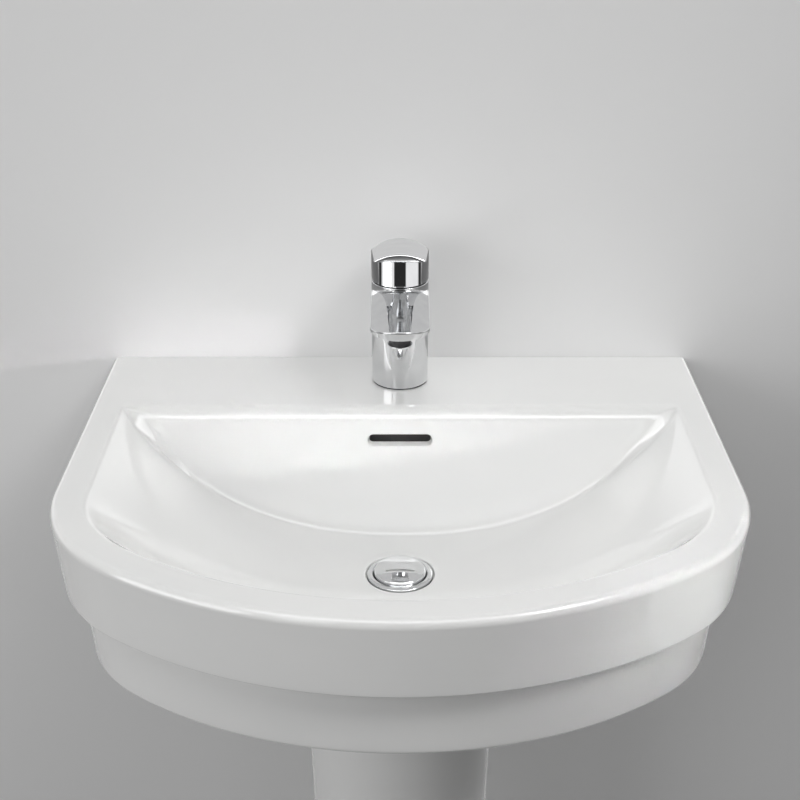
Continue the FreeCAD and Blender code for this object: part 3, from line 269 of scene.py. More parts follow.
def upright(x: float, y: float, span: Span, radius: float) -> Rod:
    """Upright rod between two heights."""
    return Vector((x, y, span[0])), Vector((x, y, span[1])), radius


def blocks(name: str, spans: Sequence[tuple[Vector, Vector]]) -> bpy.types.Object:
    """Plain blocks, to cut with or to join on.

    Args:
        name: Name of the piece.
        spans: Lowest and highest corner of each block.

    Returns:
        One object that holds all the blocks.
    """
    mesh = bmesh.new()
    for low, high in spans:
        scale = Matrix.Diagonal(((high - low) * MM).to_4d())
        middle = Matrix.Translation((low + high) * MM / 2)
        bmesh.ops.create_cube(mesh, size=1, matrix=middle @ scale)
    return as_object(mesh, name)


def smooth_step(share: np.ndarray) -> np.ndarray:
    """Ease a share from 0 to 1 without kinks."""
    share = np.clip(share, 0, 1)
    return share * share * (3 - 2 * share)


def soft_min(first: np.ndarray, second: np.ndarray, blend: np.ndarray) -> np.ndarray:
    """The lower of two heights, with a rounded meeting line.

    Args:
        first: One height at each point.
        second: The other height at each point.
        blend: How far apart the two heights may be and still round each other off.

    Returns:
        The blended height at each point.
    """
    near = np.maximum(blend - np.abs(first - second), 0) / np.maximum(blend, TINY)
    return np.minimum(first, second) - near * near * blend / 4


def soft_max(first: np.ndarray, second: np.ndarray, blend: np.ndarray) -> np.ndarray:
    """The higher of two heights, with a rounded meeting line."""
    return -soft_min(-first, -second, blend)


class Loft:
    """A skin drawn from ring to ring, with one vertex per station on every ring."""

    def __init__(self, first: np.ndarray) -> None:
        """Start the skin.

        Args:
            first: Points of the first ring.
        """
        self.mesh = bmesh.new()
        self.station = self.mesh.verts.layers.int.new("station")
        made = bmesh.ops.create_circle(self.mesh, cap_ends=False, segments=len(first), radius=1)
        for index, vert in enumerate(made["verts"]):
            vert[self.station] = index
            vert.co = first[index] * MM
        self.ring = list(self.mesh.edges)

    def pull(self, points: np.ndarray) -> None:
        """Draw the skin on to the next ring.

        Args:
            points: Points of that ring, one per station.
        """
        made = bmesh.ops.extrude_edge_only(self.mesh, edges=self.ring)["geom"]
        fresh = {item for item in made if isinstance(item, bmesh.types.BMVert)}
        for vert in fresh:
            vert.co = points[vert[self.station]] * MM
        drawn = [item for item in made if isinstance(item, bmesh.types.BMEdge)]
        self.ring = [edge for edge in drawn if fresh.issuperset(edge.verts)]

    def cap(self) -> None:
        """Close the open ring with a flat face."""
        bmesh.ops.edgeloop_fill(self.mesh, edges=self.ring)

    def finish(self, name: str) -> bpy.types.Object:
        """Weld the skin, drop slivers and face it outwards.

        Args:
            name: Name of the piece.

        Returns:
            The finished object.
        """
        bmesh.ops.remove_doubles(self.mesh, verts=self.mesh.verts, dist=WELD)
        bmesh.ops.dissolve_degenerate(self.mesh, dist=WELD, edges=self.mesh.edges)
        bmesh.ops.recalc_face_normals(self.mesh, faces=self.mesh.faces)
        return as_object(self.mesh, name)


def lofted(
    name: str, rings: Sequence[np.ndarray], start_cap: bool = True, end_cap: bool = True
) -> bpy.types.Object:
    """Draw a skin over rings.

    Args:
        name: Name of the piece.
        rings: The rings in order.
        start_cap: Whether a flat face closes the first ring.
        end_cap: Whether a flat face closes the last ring.

    Returns:
        The finished object.
    """
    skin = Loft(rings[0])
    if start_cap:
        skin.cap()
    for ring in rings[1:]:
        skin.pull(ring)
    if end_cap:
        skin.cap()
    return skin.finish(name)


# Finishes


class Effects:
    """Shader groups that several finishes share, each built once."""

    noise_span: Span = (0.3, 0.7)

    def __init__(self) -> None:
        """Build the groups."""
        self.cloud = self.make_cloud()
        self.streak = self.make_streak()

    @staticmethod
    def start(
        name: str, inputs: Sequence[tuple[str, str]]
    ) -> tuple[bpy.types.NodeTree, bpy.types.Node]:
        """Begin a group with its sockets.

        Args:
            name: Name of the group.
            inputs: Name and socket type of each input.

        Returns:
            The group and its input node.
        """
        group = bpy.data.node_groups.new(name, "ShaderNodeTree")
        for label, kind in inputs:
            group.interface.new_socket(label, in_out="INPUT", socket_type=kind)
        group.interface.new_socket("Value", in_out="OUTPUT", socket_type="NodeSocketFloat")
        return group, group.nodes.new("NodeGroupInput")

    def make_cloud(self) -> bpy.types.NodeTree:
        """Soft patches that run from Low to High over the surface.

        Returns:
            The group.
        """
        numbers = [(label, "NodeSocketFloat") for label in ("Scale", "Detail", "Low", "High")]
        group, given = self.start("soft_patches", [("Vector", "NodeSocketVector"), *numbers])
        noise = group.nodes.new("ShaderNodeTexNoise")
        spread = group.nodes.new("ShaderNodeMapRange")
        for label, number in zip(("From Min", "From Max"), self.noise_span):
            spread.inputs[label].default_value = number
        put = group.nodes.new("NodeGroupOutput")
        for label in ("Vector", "Scale", "Detail"):
            group.links.new(given.outputs[label], noise.inputs[label])
        group.links.new(noise.outputs["Fac"], spread.inputs["Value"])
        group.links.new(given.outputs["Low"], spread.inputs["To Min"])
        group.links.new(given.outputs["High"], spread.inputs["To Max"])
        group.links.new(spread.outputs["Result"], put.inputs["Value"])
        return group

    def make_streak(self) -> bpy.types.NodeTree:
        """Fine lines, drawn out along one direction by Stretch.

        Returns:
            The group.
        """
        ways = [(label, "NodeSocketVector") for label in ("Vector", "Stretch")]
        group, given = self.start("drawn_lines", [*ways, ("Detail", "NodeSocketFloat")])
        scale = group.nodes.new("ShaderNodeVectorMath")
        scale.operation = "MULTIPLY"
        noise = group.nodes.new("ShaderNodeTexNoise")
        noise.inputs["Scale"].default_value = 1
        put = group.nodes.new("NodeGroupOutput")
        group.links.new(given.outputs["Vector"], scale.inputs[0])
        group.links.new(given.outputs["Stretch"], scale.inputs[1])
        group.links.new(scale.outputs["Vector"], noise.inputs["Vector"])
        group.links.new(given.outputs["Detail"], noise.inputs["Detail"])
        group.links.new(noise.outputs["Fac"], put.inputs["Value"])
        return group


@dataclass(frozen=True)
class Finish:
    """A surface finish: two close colours, a range of roughness and a fine relief.

    The patch scales count patches per metre. Stretch counts the relief's lines per metre along
    each axis, and relief is their height in millimetres.
    """

    name: str
    light: Colour
    dark: Colour
    metallic: float
    roughness: tuple[float, float]
    tint_scale: float
    wipe_scale: float
    stretch: tuple[float, float, float]
    relief: float
    coat: float = 0.0
    coat_roughness: float = 0.03
    ior: float = 1.5
    patch_detail: float = 3
    line_detail: float = 2

    def material(self, effects: Effects) -> bpy.types.Material:
        """Make the material.

        Args:
            effects: The shared shader groups.

        Returns:
            The finished material.
        """
        made = bpy.data.materials.new(f"{self.name}_finish")
        made.use_nodes = True
        nodes, links = made.node_tree.nodes, made.node_tree.links
        shader = nodes["Principled BSDF"]
        shader.inputs["Metallic"].default_value = self.metallic
        shader.inputs["IOR"].default_value = self.ior
        shader.inputs["Coat Weight"].default_value = self.coat
        shader.inputs["Coat Roughness"].default_value = self.coat_roughness
        place = nodes.new("ShaderNodeTexCoord")

        def patches(scale: float, low: float, high: float) -> Socket:
            """Use the soft patches once.

            Args:
                scale: Patches per metre.
                low: Value of the lowest patches.
                high: Value of the highest patches.

            Returns:
                The socket of their value.
            """
            node = nodes.new("ShaderNodeGroup")
            node.node_tree = effects.cloud
            given = {"Scale": scale, "Detail": self.patch_detail, "Low": low, "High": high}
            for label, number in given.items():
                node.inputs[label].default_value = number
            links.new(place.outputs["Object"], node.inputs["Vector"])
            return node.outputs["Value"]

        mix = nodes.new("ShaderNodeMix")
        mix.data_type = "RGBA"
        mix.inputs["A"].default_value = (*self.dark, 1)
        mix.inputs["B"].default_value = (*self.light, 1)
        links.new(patches(self.tint_scale, 0, 1), mix.inputs["Factor"])
        links.new(mix.outputs["Result"], shader.inputs["Base Color"])
        links.new(patches(self.wipe_scale, *self.roughness), shader.inputs["Roughness"])

        lines = nodes.new("ShaderNodeGroup")
        lines.node_tree = effects.streak
        lines.inputs["Stretch"].default_value = self.stretch
        lines.inputs["Detail"].default_value = self.line_detail
        links.new(place.outputs["Object"], lines.inputs["Vector"])
        bump = nodes.new("ShaderNodeBump")
        bump.inputs["Strength"].default_value = 1
        bump.inputs["Distance"].default_value = self.relief * MM
        links.new(lines.outputs["Value"], bump.inputs["Height"])
        links.new(bump.outputs["Normal"], shader.inputs["Normal"])
        return made


FINISHES = {
    Slot.GLAZE: Finish(
        "glaze",
        light=(0.9, 0.9, 0.89),
        dark=(0.865, 0.868, 0.86),
        metallic=0,
        roughness=(0.03, 0.06),
        tint_scale=7,
        wipe_scale=11,
        stretch=(22, 22, 22),
        relief=0.05,
        coat=0.5,
    ),
    Slot.CHROME: Finish(
        "chrome",
        light=(0.74, 0.745, 0.75),
        dark=(0.68, 0.685, 0.695),
        metallic=1,
        roughness=(0.025, 0.075),
        tint_scale=60,
        wipe_scale=90,
        stretch=(160, 160, 60),
        relief=0.0015,
    ),
    Slot.BRASS: Finish(
        "brass",
        light=(0.78, 0.62, 0.34),
        dark=(0.62, 0.47, 0.24),
        metallic=1,
        roughness=(0.2, 0.38),
        tint_scale=120,
        wipe_scale=220,
        stretch=(60, 60, 4000),
        relief=0.012,
    ),
    Slot.STEEL: Finish(
        "steel",
        light=(0.66, 0.67, 0.68),
        dark=(0.52, 0.53, 0.545),
        metallic=1,
        roughness=(0.22, 0.4),
        tint_scale=150,
        wipe_scale=260,
        stretch=(3000, 60, 3000),
        relief=0.01,
    ),
    Slot.RUBBER: Finish(
        "rubber",
        light=(0.062, 0.062, 0.064),
        dark=(0.03, 0.03, 0.032),
        metallic=0,
        roughness=(0.62, 0.85),
        tint_scale=140,
        wipe_scale=300,
        stretch=(1800, 1800, 1800),
        relief=0.05,
    ),
    Slot.WHITE_PLASTIC: Finish(
        "white_plastic",
        light=(0.88, 0.88, 0.87),
        dark=(0.8, 0.8, 0.785),
        metallic=0,
        roughness=(0.26, 0.42),
        tint_scale=40,
        wipe_scale=120,
        stretch=(900, 900, 900),
        relief=0.02,
    ),
    Slot.GREY_PLASTIC: Finish(
        "grey_plastic",
        light=(0.34, 0.35, 0.37),
        dark=(0.27, 0.28, 0.3),
        metallic=0,
        roughness=(0.42, 0.6),
        tint_scale=90,
        wipe_scale=200,
        stretch=(1500, 1500, 1500),
        relief=0.03,
    ),
    Slot.DISC_CERAMIC: Finish(
        "disc_ceramic",
        light=(0.82, 0.81, 0.78),
        dark=(0.74, 0.73, 0.7),
        metallic=0,
        roughness=(0.14, 0.3),
        tint_scale=200,
        wipe_scale=400,
        stretch=(2500, 2500, 2500),
        relief=0.006,
    ),
}
# Dull unglazed finish for the overflow's duct. Its dark grey is painted shade for the deep, dim
# duct, not the ceramic's own colour.
UNGLAZED_PAINTED_SHADE = Finish(
    "unglazed_painted_shade",
    light=(0.2, 0.195, 0.19),
    dark=(0.14, 0.137, 0.133),
    metallic=0,
    roughness=(0.75, 0.95),
    tint_scale=60,
    wipe_scale=150,
    stretch=(700, 700, 700),
    relief=0.1,
)


class Wardrobe:
    """The finishes as materials, and how pieces are dressed in them."""

    def __init__(self) -> None:
        """Make every finish once."""
        effects = Effects()
        self.materials = {slot: finish.material(effects) for slot, finish in FINISHES.items()}
        # The duct's dull finish, darkened with painted shade.
        self.unglazed_painted_shade = UNGLAZED_PAINTED_SHADE.material(effects)

    def dress(self, piece: bpy.types.Object, slot: Slot) -> None:
        """Give a piece one finish.

        Args:
            piece: The mesh piece.
            slot: The finish's slot.
        """
        if piece.data.materials:
            piece.data.materials[0] = self.materials[slot]
        else:
            piece.data.materials.append(self.materials[slot])

    def dress_made(self, piece: bpy.types.Object, slot: Slot, body: str, *nodes: str) -> None:
        """Dress a made piece, set it on its body and let it stand for its solids.

        Args:
            piece: The made piece.
            slot: Its finish.
            body: The body that it rides on.
            nodes: The solids that it stands for.
        """
        self.dress(piece, slot)
        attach(piece, body)
        if nodes:
            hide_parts(*nodes)
        whole = ", ".join(nodes) or body
        LOG.info("%s for %s, %d faces", piece.name, whole, len(piece.data.polygons))

    def dress_solids(self) -> None:
        """Dress every solid that still shows in the finish of its slot."""
        for row in frame["record"]["subparts"]:
            node = frame["nodes"][row["node"]]
            if not node.hide_render:
                self.dress(node, Slot(row["material_slot"]))
                LOG.info("%s keeps its solid", node.name)


# Outlines seen from above


@dataclass
class BowedEnd:
    """A bowed end of an outline: two corners and a shallow bow between them.

    Half is the half width, straight the y where the straight sides end, reach how far the end
    goes past that, corner the corners' radius, and toward 1 for a back and -1 for a front.
    """

    half: float
    straight: float
    reach: float
    corner: float
    toward: int

    @property
    def inner(self) -> float:
        """Half the distance between the corners' centres."""
        return self.half - self.corner

    @property
    def bow(self) -> float:
        """Radius of the bow, which runs smoothly into the corners."""
        rise = self.reach - self.corner
        return (self.inner**2 + self.reach**2 - self.corner**2) / (2 * rise)

    @property
    def sweep(self) -> float:
        """Angle of each corner's arc."""
        return math.atan2(self.bow - self.reach, self.inner)

    def holds(self, x: float, y: float) -> bool:
        """Whether a point beyond the straight sides is inside.

        Args:
            x: Distance from the middle plane.
            y: Place from front to back.

        Returns:
            True inside the end, or short of it.
        """
        past = (y - self.straight) * self.toward
        if past <= 0:
            return True
        centre = self.reach - self.bow
        if -x * centre <= (past - centre) * self.inner:
            return math.hypot(x, past - centre) <= self.bow
        return math.hypot(x - self.inner, past) <= self.corner

    def points(
        self, corner_steps: int, bow_steps: int
    ) -> list[tuple[float, float, float, float]]:
        """Right-hand points from the straight side to the tip, with outward normals.

        Args:
            corner_steps: Steps along the corner.
            bow_steps: Steps along the bow.

        Returns:
            x, y and the normal's x and y of each point.
        """
        found = []
        for angle in np.linspace(0, self.sweep, corner_steps + 1):
            across, ahead = math.cos(angle), math.sin(angle) * self.toward
            x = self.inner + self.corner * across
            found.append((x, self.straight + self.corner * ahead, across, ahead))
        for angle in np.linspace(self.sweep, math.pi / 2, bow_steps + 1)[1:]:
            across, ahead = math.cos(angle), math.sin(angle) * self.toward
            y = self.straight + self.toward * (self.reach - self.bow) + self.bow * ahead
            found.append((self.bow * across, y, across, ahead))
        return found


@dataclass
class Outline:
    """Closed outline about the drain: straight sides, bowed front, flat or bowed back."""

    front: BowedEnd
    back: BowedEnd | float

    def holds(self, x: float, y: float) -> bool:
        """Whether a point is inside the outline.

        Args:
            x: Distance to the right of the middle plane.
            y: Place from front to back.

        Returns:
            True inside.
        """
        x = abs(x)
        bowed = isinstance(self.back, BowedEnd)
        behind = self.back.holds(x, y) if bowed else y <= self.back
        return x <= self.front.half and behind and self.front.holds(x, y)

    def reach(self, start: np.ndarray, heading: np.ndarray) -> float:
        """Distance from a point inside to the outline.

        Args:
            start: The point inside.
            heading: Unit direction.

        Returns:
            The distance along that direction.
        """
        near, far = 0.0, FAR
        for _ in range(HALVINGS):
            middle = (near + far) / 2
            x, y = start + heading * middle
            near, far = (middle, far) if self.holds(x, y) else (near, middle)
        return near


# Basin


@dataclass
class Basin:
    """Glazed basin with two tiers, a dished bowl, a flat deck and an overflow slot."""

    rim: float = 850
    half: float = 300
    wall: float = 243
    front_reach: float = 202
    corner: float = 152
    rim_width: float = 30
    rim_rounding: float = 7
    drain: float = 1.5
    deck_front: float = 116
    rear_slope: float = 0.43
    deck_rounding: float = 20
    bowl_depth: float = 113
    bowl_power: float = 2.465
    floor_share: float = 0.13
    rim_blend: float = 2.6
    crease_blend: float = 8
    dish_start: float = 36
    back_wall: float = 12
    ceiling: float = 837
    bottom: float = 705
    mouth_setback: float = 4
    mouth_back: Span = (200, 62)
    seat_front: tuple[float, float, float, float] = (103, 28, 93.3, 73.9)
    seat_back: float = 121
    crease_depth: float = 20
    bowl_wall: float = 12.5
    rear_gap: float = 14
    lower_inset: float = 36
    upper_inset: float = 16.5
    ledge: float = 786
    slot_radius: float = 5.25
    slot_side: float = 25.75
    slot_height: float = 822.5
    slot_stations: int = 96
    bulge: float = 22
    bulge_half: float = 52
    bulge_ease: float = 14
    duct_ends: Span = (834, 716)
    duct_gap: float = 11
    duct_depth: float = 18
    duct_half: float = 30
    tap_axis: float = 188
    tap_drill: Span = (825, 860)
    tap_hole: float = 17.5
    bolt_side: float = 140
    bolt_height: float = 755
    bolt_drill: Span = (225, 250)
    bolt_hole: float = 6.5
    ring_length: float = 6
    ring_turn: float = 2
    trial_steps: int = 1500
    back_end: float = 262
    side_start: float = 228
    straight_stations: int = 35
    corner_stations: int = 34
    bow_stations: int = 54
    top_rings: int = 178
    under_rings: int = 14

    def __post_init__(self) -> None:
        """Work out the outlines and the stations that all rings share."""
        side_end = -self.wall + self.front_reach
        self.centre = np.array((0.0, self.drain))
        self.edge = BowedEnd(self.half, side_end, self.front_reach, self.corner, -1)
        inner = self.rim_width
        self.mouth = Outline(
            BowedEnd(
                self.half - inner, side_end, self.front_reach - inner, self.corner - inner, -1
            ),
            BowedEnd(self.half - inner, self.deck_front - self.mouth_setback, *self.mouth_back, 1),
        )
        self.seat = Outline(BowedEnd(*self.seat_front, -1), self.seat_back)
        along_back = np.linspace(0, self.back_end, self.straight_stations)
        along_side = np.linspace(self.side_start, side_end, self.straight_stations)[:-1]
        right = [(x, self.wall, 0.0, 0.0) for x in along_back]
        right.append((self.half, self.wall, 1.0, 0.0))
        right += [(self.half, y, 1.0, 0.0) for y in along_side]
        right += self.edge.points(self.corner_stations, self.bow_stations)
        left = [(-x, y, -across, ahead) for x, y, across, ahead in right[-2:0:-1]]
        rows = np.array(right + left)
        self.places, self.normals = rows[:, :2], rows[:, 2:]
        self.behind = ~np.any(self.normals, axis=1)

    def rear(self, y: np.ndarray, back: float | np.ndarray = 0.0) -> np.ndarray:
        """Height of the sloped rear wall with the deck's rounded front edge.

        Args:
            y: Place from front to back.
            back: How far the wall is moved back.

        Returns:
            The height at each place.
        """
        y = y - back
        fall = math.atan(self.rear_slope)
        run = self.deck_rounding * math.tan((math.pi / 2 - fall) / 2)
        start = self.deck_front + run
        end = self.deck_front - run * math.sin(fall)
        sunk = np.clip(start - y, 0, self.deck_rounding)
        arc = self.rim - self.deck_rounding + np.sqrt(self.deck_rounding**2 - sunk**2)
        slope = self.rim + (y - self.deck_front) / self.rear_slope
        return np.where(y > end, arc, slope)

    def dish(self, share: np.ndarray) -> np.ndarray:
        """Height of the dish at a share of the distance from the drain to the bowl's mouth."""
        fall = (1 - share**self.bowl_power) / (1 - self.floor_share**self.bowl_power)
        return np.maximum(self.rim - self.bowl_depth * fall, self.rim - self.bowl_depth)

    def top(self, y: np.ndarray, share: np.ndarray) -> np.ndarray:
        """Height of the bowl, the rim and the deck.

        Args:
            y: Place from front to back.
            share: Share of the distance from the drain to the bowl's mouth.

        Returns:
            The height at each point.
        """
        level = np.full_like(y, self.rim)
        shelf = soft_min(level, self.dish(share), np.full_like(y, self.rim_blend))
        rear = self.rear(y)
        deep = self.rim - np.maximum(shelf, rear)
        return soft_max(shelf, rear, self.crease_blend * smooth_step(deep / self.crease_depth))

    def under(self, x: np.ndarray, y: np.ndarray, share: np.ndarray) -> np.ndarray:
        """Height of the bowl's underside, which bulges behind the overflow's duct.

        Args:
            x: Place from left to right.
            y: Place from front to back.
            share: Share of the distance from the drain to the bowl's mouth.

        Returns:
            The height at each point.
        """
        duct = smooth_step((self.bulge_half - np.abs(x)) / self.bulge_ease)
        rear = self.rear(y, self.rear_gap + self.bulge * duct)
        skin = np.maximum(self.dish(share) - self.bowl_wall, rear - self.bowl_wall)
        return np.minimum(self.ceiling, skin)

    def ray(self, end: np.ndarray) -> tuple[np.ndarray, np.ndarray, float]:
        """Direction and reach of the bowl's mouth on the way from the drain to a point.

        Args:
            end: Where the ray ends.

        Returns:
            Its unit direction, its length and the mouth's distance along it.
        """
        span = end - self.centre
        length = math.hypot(*span)
        heading = span / length
        return heading, length, self.mouth.reach(self.centre, heading)

    def lean(self, heading: np.ndarray, radius: np.ndarray, mouth: float) -> np.ndarray:
        """Exact normals of the top along one ray from the drain.

        Args:
            heading: The ray's unit direction.
            radius: Distances along it.
            mouth: Distance of the bowl's mouth along it.

        Returns:
            One unit normal per distance.
        """
        step, swing = 0.02, 2e-4
        side = np.array((-heading[1], heading[0]))
        low, high = (
            self.top(self.drain + heading[1] * place, place / mouth)
            for place in (radius - step, radius + step)
        )
        turned = []
        for sign in (-1, 1):
            bearing = heading * math.cos(swing) + side * sign * math.sin(swing)
            reach = self.mouth.reach(self.centre, bearing)
            turned.append(self.top(self.drain + bearing[1] * radius, radius / reach))
        along = (high - low) / (2 * step)
        across = (turned[1] - turned[0]) / (2 * swing * radius)
        normals = np.ones((len(radius), 3))
        normals[:, :2] = -np.outer(along, heading) - np.outer(across, side)
        return normals / np.linalg.norm(normals, axis=1)[:, None]

    def top_points(self) -> tuple[np.ndarray, np.ndarray]:
        """Rings of the top from the drain's recess to the outer edge, closer where it bends.

        Returns:
            Points and exact normals by ring and station.
        """
        ends = self.places - self.normals * self.rim_rounding
        points = np.empty((self.top_rings + 1, len(ends), 3))
        normals = np.empty_like(points)
        for index, end in enumerate(ends):
            heading, length, mouth = self.ray(end)
            radius = np.linspace(self.dish_start, length, self.trial_steps)
            height = self.top(self.drain + heading[1] * radius, radius / mouth)
            step = np.hypot(np.diff(radius), np.diff(height))
            course = np.arctan2(np.diff(height), np.diff(radius))
            turn = np.abs(np.diff(course, prepend=course[0]))
            cost = step / self.ring_length + turn / math.radians(self.ring_turn)
            spent = np.concatenate(([0], np.cumsum(cost)))
            radius = np.interp(np.linspace(0, spent[-1], self.top_rings + 1), spent, radius)
            points[:, index, :2] = self.centre + np.outer(radius, heading)
            points[:, index, 2] = self.top(points[:, index, 1], radius / mouth)
            normals[:, index] = self.lean(heading, radius, mouth)
        return points, normals

    def shade_true(
        self, piece: bpy.types.Object, points: np.ndarray, normals: np.ndarray
    ) -> None:
        """Shade the top by its exact normals, so that its highlights run clean.

        Args:
            piece: The finished basin.
            points: Points of the top.
            normals: Exact normals there.
        """
        snug, slot_room = 1e-5, 0.009
        slot_half, slot_front, slot_foot = 0.05, 0.05, 0.8
        same_way, upward = 0.8, 0.5
        mesh = piece.data
        flat = normals.reshape(-1, 3)
        tree = KDTree(len(flat))
        for index, point in enumerate(points.reshape(-1, 3)):
            tree.insert(Vector(point) * MM, index)
        tree.balance()
        found = [tree.find(vert.co) for vert in mesh.vertices]
        outer = len(flat) - len(self.places)
        shown = [Vector(corner.vector) for corner in mesh.corner_normals]
        for face in mesh.polygons:
            x, y, z = face.center
            by_slot = abs(x) < slot_half and y > slot_front and z > slot_foot
            room = slot_room if by_slot else snug
            true = Vector(flat[found[face.vertices[0]][1]])
            on_top = all(found[vert][2] < room for vert in face.vertices)
            on_top = on_top and face.normal.dot(true) > same_way
            for corner, vert in zip(face.loop_indices, face.vertices):
                _, index, gap = found[vert]
                at_edge = index >= outer and gap < snug and face.normal.z > upward
                if on_top or at_edge:
                    shown[corner] = Vector(flat[index])
        mesh.normals_split_custom_set(shown)

    def skirt(self, path: Sequence[tuple[float, float]], back: float) -> list[np.ndarray]:
        """Rings of the tiers from an inset and height path.

        Args:
            path: Inset from the outline and height of each ring.
            back: Where the back stands.

        Returns:
            One ring per step of the path.
        """
        steps = np.hypot(*np.diff(np.array(path), axis=0).T)
        spent = np.concatenate(([0], np.cumsum(steps))) / steps.sum()
        heights = path[0][1] + (path[-1][1] - path[0][1]) * spent
        rings = []
        for (inset, z), behind_z in zip(path, heights):
            ring = np.empty((len(self.places), 3))
            ring[:, :2] = self.places - self.normals * inset
            ring[:, 1] = np.minimum(ring[:, 1], back)
            ring[:, 2] = np.where(self.behind, behind_z, z)
            rings.append(ring)
        return rings

    def outer_path(self) -> list[tuple[float, float]]:
        """Side view of the two drafted tiers, from the rim's rounding to the bottom.

        Returns:
            Inset from the outline and height of each step.
        """
        turn = self.rim_rounding
        past_upright = np.radians(np.linspace(90, -5, 14))
        path = [
            (turn - turn * math.cos(angle), self.rim - turn + turn * math.sin(angle))
            for angle in past_upright
        ]
        tier = rounded(
            [
                (path[-1][0], path[-1][1], 0),
                (0.12, 841.5, 0),
                (1.0, 834, 0),
                (3.4, 808, 0),
                (5.9, 782, 0),
                (6.5, 776, 2),
                (19.5, 776, 1.5),
                (20.1, 770, 0),
                (21.6, 754, 0),
                (23.4, 734, 0),
                (24.9, 717, 0),
                (25.8, self.bottom, 9),
                (self.lower_inset, self.bottom, 0),
            ],
            closed=False,
        )
        return path[1:] + [(point.x, point.y) for point in tier[1:-1]]

    def under_rings_from(self, last: np.ndarray) -> list[np.ndarray]:
        """Rings of the underside from the skirt's ceiling to the pedestal's seat.

        Args:
            last: The ring under the rim.

        Returns:
            The rings, down to the seat's flat bottom.
        """
        rings = [np.empty_like(last) for _ in range(self.under_rings)]
        for index, point in enumerate(last):
            heading, length, mouth = self.ray(point[:2])
            seat = self.seat.reach(self.centre, heading)
            for ring, share in zip(rings, np.linspace(0, 1, self.under_rings + 1)[1:]):
                radius = length + (seat - length) * share
                x, y = self.centre + heading * radius
                height = self.under(np.array(x), np.array(y), np.array(radius / mouth))
                ring[index] = x, y, float(height)
        foot = rings[-1].copy()
        foot[:, 2] = self.bottom
        return rings + [foot]

    def drain_rings(self, headings: np.ndarray) -> list[np.ndarray]:
        """Rings of the waste hole, its countersink and the flange's recess.

        Args:
            headings: Direction of each station from the drain.

        Returns:
            The rings from the bottom up to the dish.
        """
        path = rounded(
            [
                (60, self.bottom, 0),
                (23, self.bottom, 1.2),
                (23, 728, 0),
                (27.8, 734, 0),
                (31.6, 734, 0.8),
                (31.9, 737, 1.2),
                (self.dish_start, 737, 0),
            ],
            closed=False,
        )
        rings = []
        for point in path[1:-1]:
            ring = np.empty((len(headings), 3))
            ring[:, :2] = self.centre + headings * point.x
            ring[:, 2] = point.y
            rings.append(ring)
        return rings

    def overflow_tool(self) -> bpy.types.Object:
        """Tool for the overflow slot: long, round-ended and flared at its mouth.

        Returns:
            The closed tool.
        """
        angles = np.linspace(0, math.tau, self.slot_stations, endpoint=False)
        ends = np.where(np.cos(angles) > 0, self.slot_side, -self.slot_side)
        flares = ((-3, 1.2), (0, 1.2), (0.3, 0.6), (0.8, 0.18), (1.5, 0), (8, 0), (25, 0))
        rings = []
        for depth, flare in flares:
            radius = self.slot_radius + flare
            x = radius * np.cos(angles) + ends
            z = self.slot_height + radius * np.sin(angles)
            y = self.deck_front - self.rear_slope * (self.rim - z) + depth
            rings.append(np.stack((x, y, z), axis=1))
        return lofted("overflow_tool", rings)

    def duct_tools(self) -> tuple[bpy.types.Object, bpy.types.Object]:
        """Tools for the overflow's duct behind the rear wall and its way to the waste hole.

        Returns:
            The duct's tool and the way's.
        """
        side = self.duct_half
        rings = []
        for z in self.duct_ends:
            front = self.deck_front - self.rear_slope * (self.rim - z) + self.duct_gap
            back = front + self.duct_depth
            corners = [(-side, front, z), (side, front, z), (side, back, z), (-side, back, z)]
            rings.append(np.array(corners))
        way = (Vector((-10, 20, 714)), Vector((10, 85, 727)))
        return lofted("duct_tool", rings), blocks("way_tool", [way])

    def build(self, glaze: bpy.types.Material, duct_painted_shade: bpy.types.Material) -> bpy.types.Object:
        """Build the basin.

        Args:
            glaze: Finish of the outside.
            duct_painted_shade: Finish of the overflow's duct: dull and unglazed, with its dark
                grey painted shade.

        Returns:
            The finished piece.
        """
        top, normals = self.top_points()
        headings = top[0, :, :2] - self.centre
        headings /= np.hypot(*headings.T)[:, None]
        outer = self.skirt(self.outer_path(), self.wall)
        hollow = [(self.lower_inset, z) for z in (self.bottom, 745, self.ledge)]
        hollow.append((26, self.ledge))
        hollow += [(self.upper_inset, z) for z in (self.ledge, 812, self.ceiling)]
        inside = self.skirt(hollow, self.wall - self.back_wall)
        under = self.under_rings_from(inside[-1])
        rings = [*top, *outer, *inside, *under, *self.drain_rings(headings), top[0]]
        piece = lofted("basin_glazed", rings, start_cap=False, end_cap=False)
        piece.data.materials.append(glaze)
        # The duct's tools carry the finish with painted shade on to the faces that they cut.
        for tool in self.duct_tools():
            tool.data.materials.append(duct_painted_shade)
            work(piece, tool, Cut.TAKE)
        work(piece, self.overflow_tool(), Cut.TAKE)
        drills = [upright(0, self.tap_axis, self.tap_drill, self.tap_hole)]
        for x in (-self.bolt_side, self.bolt_side):
            start, end = (Vector((x, y, self.bolt_height)) for y in self.bolt_drill)
            drills.append((start, end, self.bolt_hole))
        work(piece, rods("basin_drills", drills, sides=96), Cut.TAKE)
        polish(piece)
        self.shade_true(piece, top, normals)
        return piece

    def dress(self, wardrobe: Wardrobe) -> None:
        """Build the basin and dress it in glaze."""
        # The overflow's duct is dressed in the dark finish, which is painted shade.
        piece = self.build(wardrobe.materials[Slot.GLAZE], wardrobe.unglazed_painted_shade)
        wardrobe.dress_made(piece, Slot.GLAZE, "basin_set", "basin")


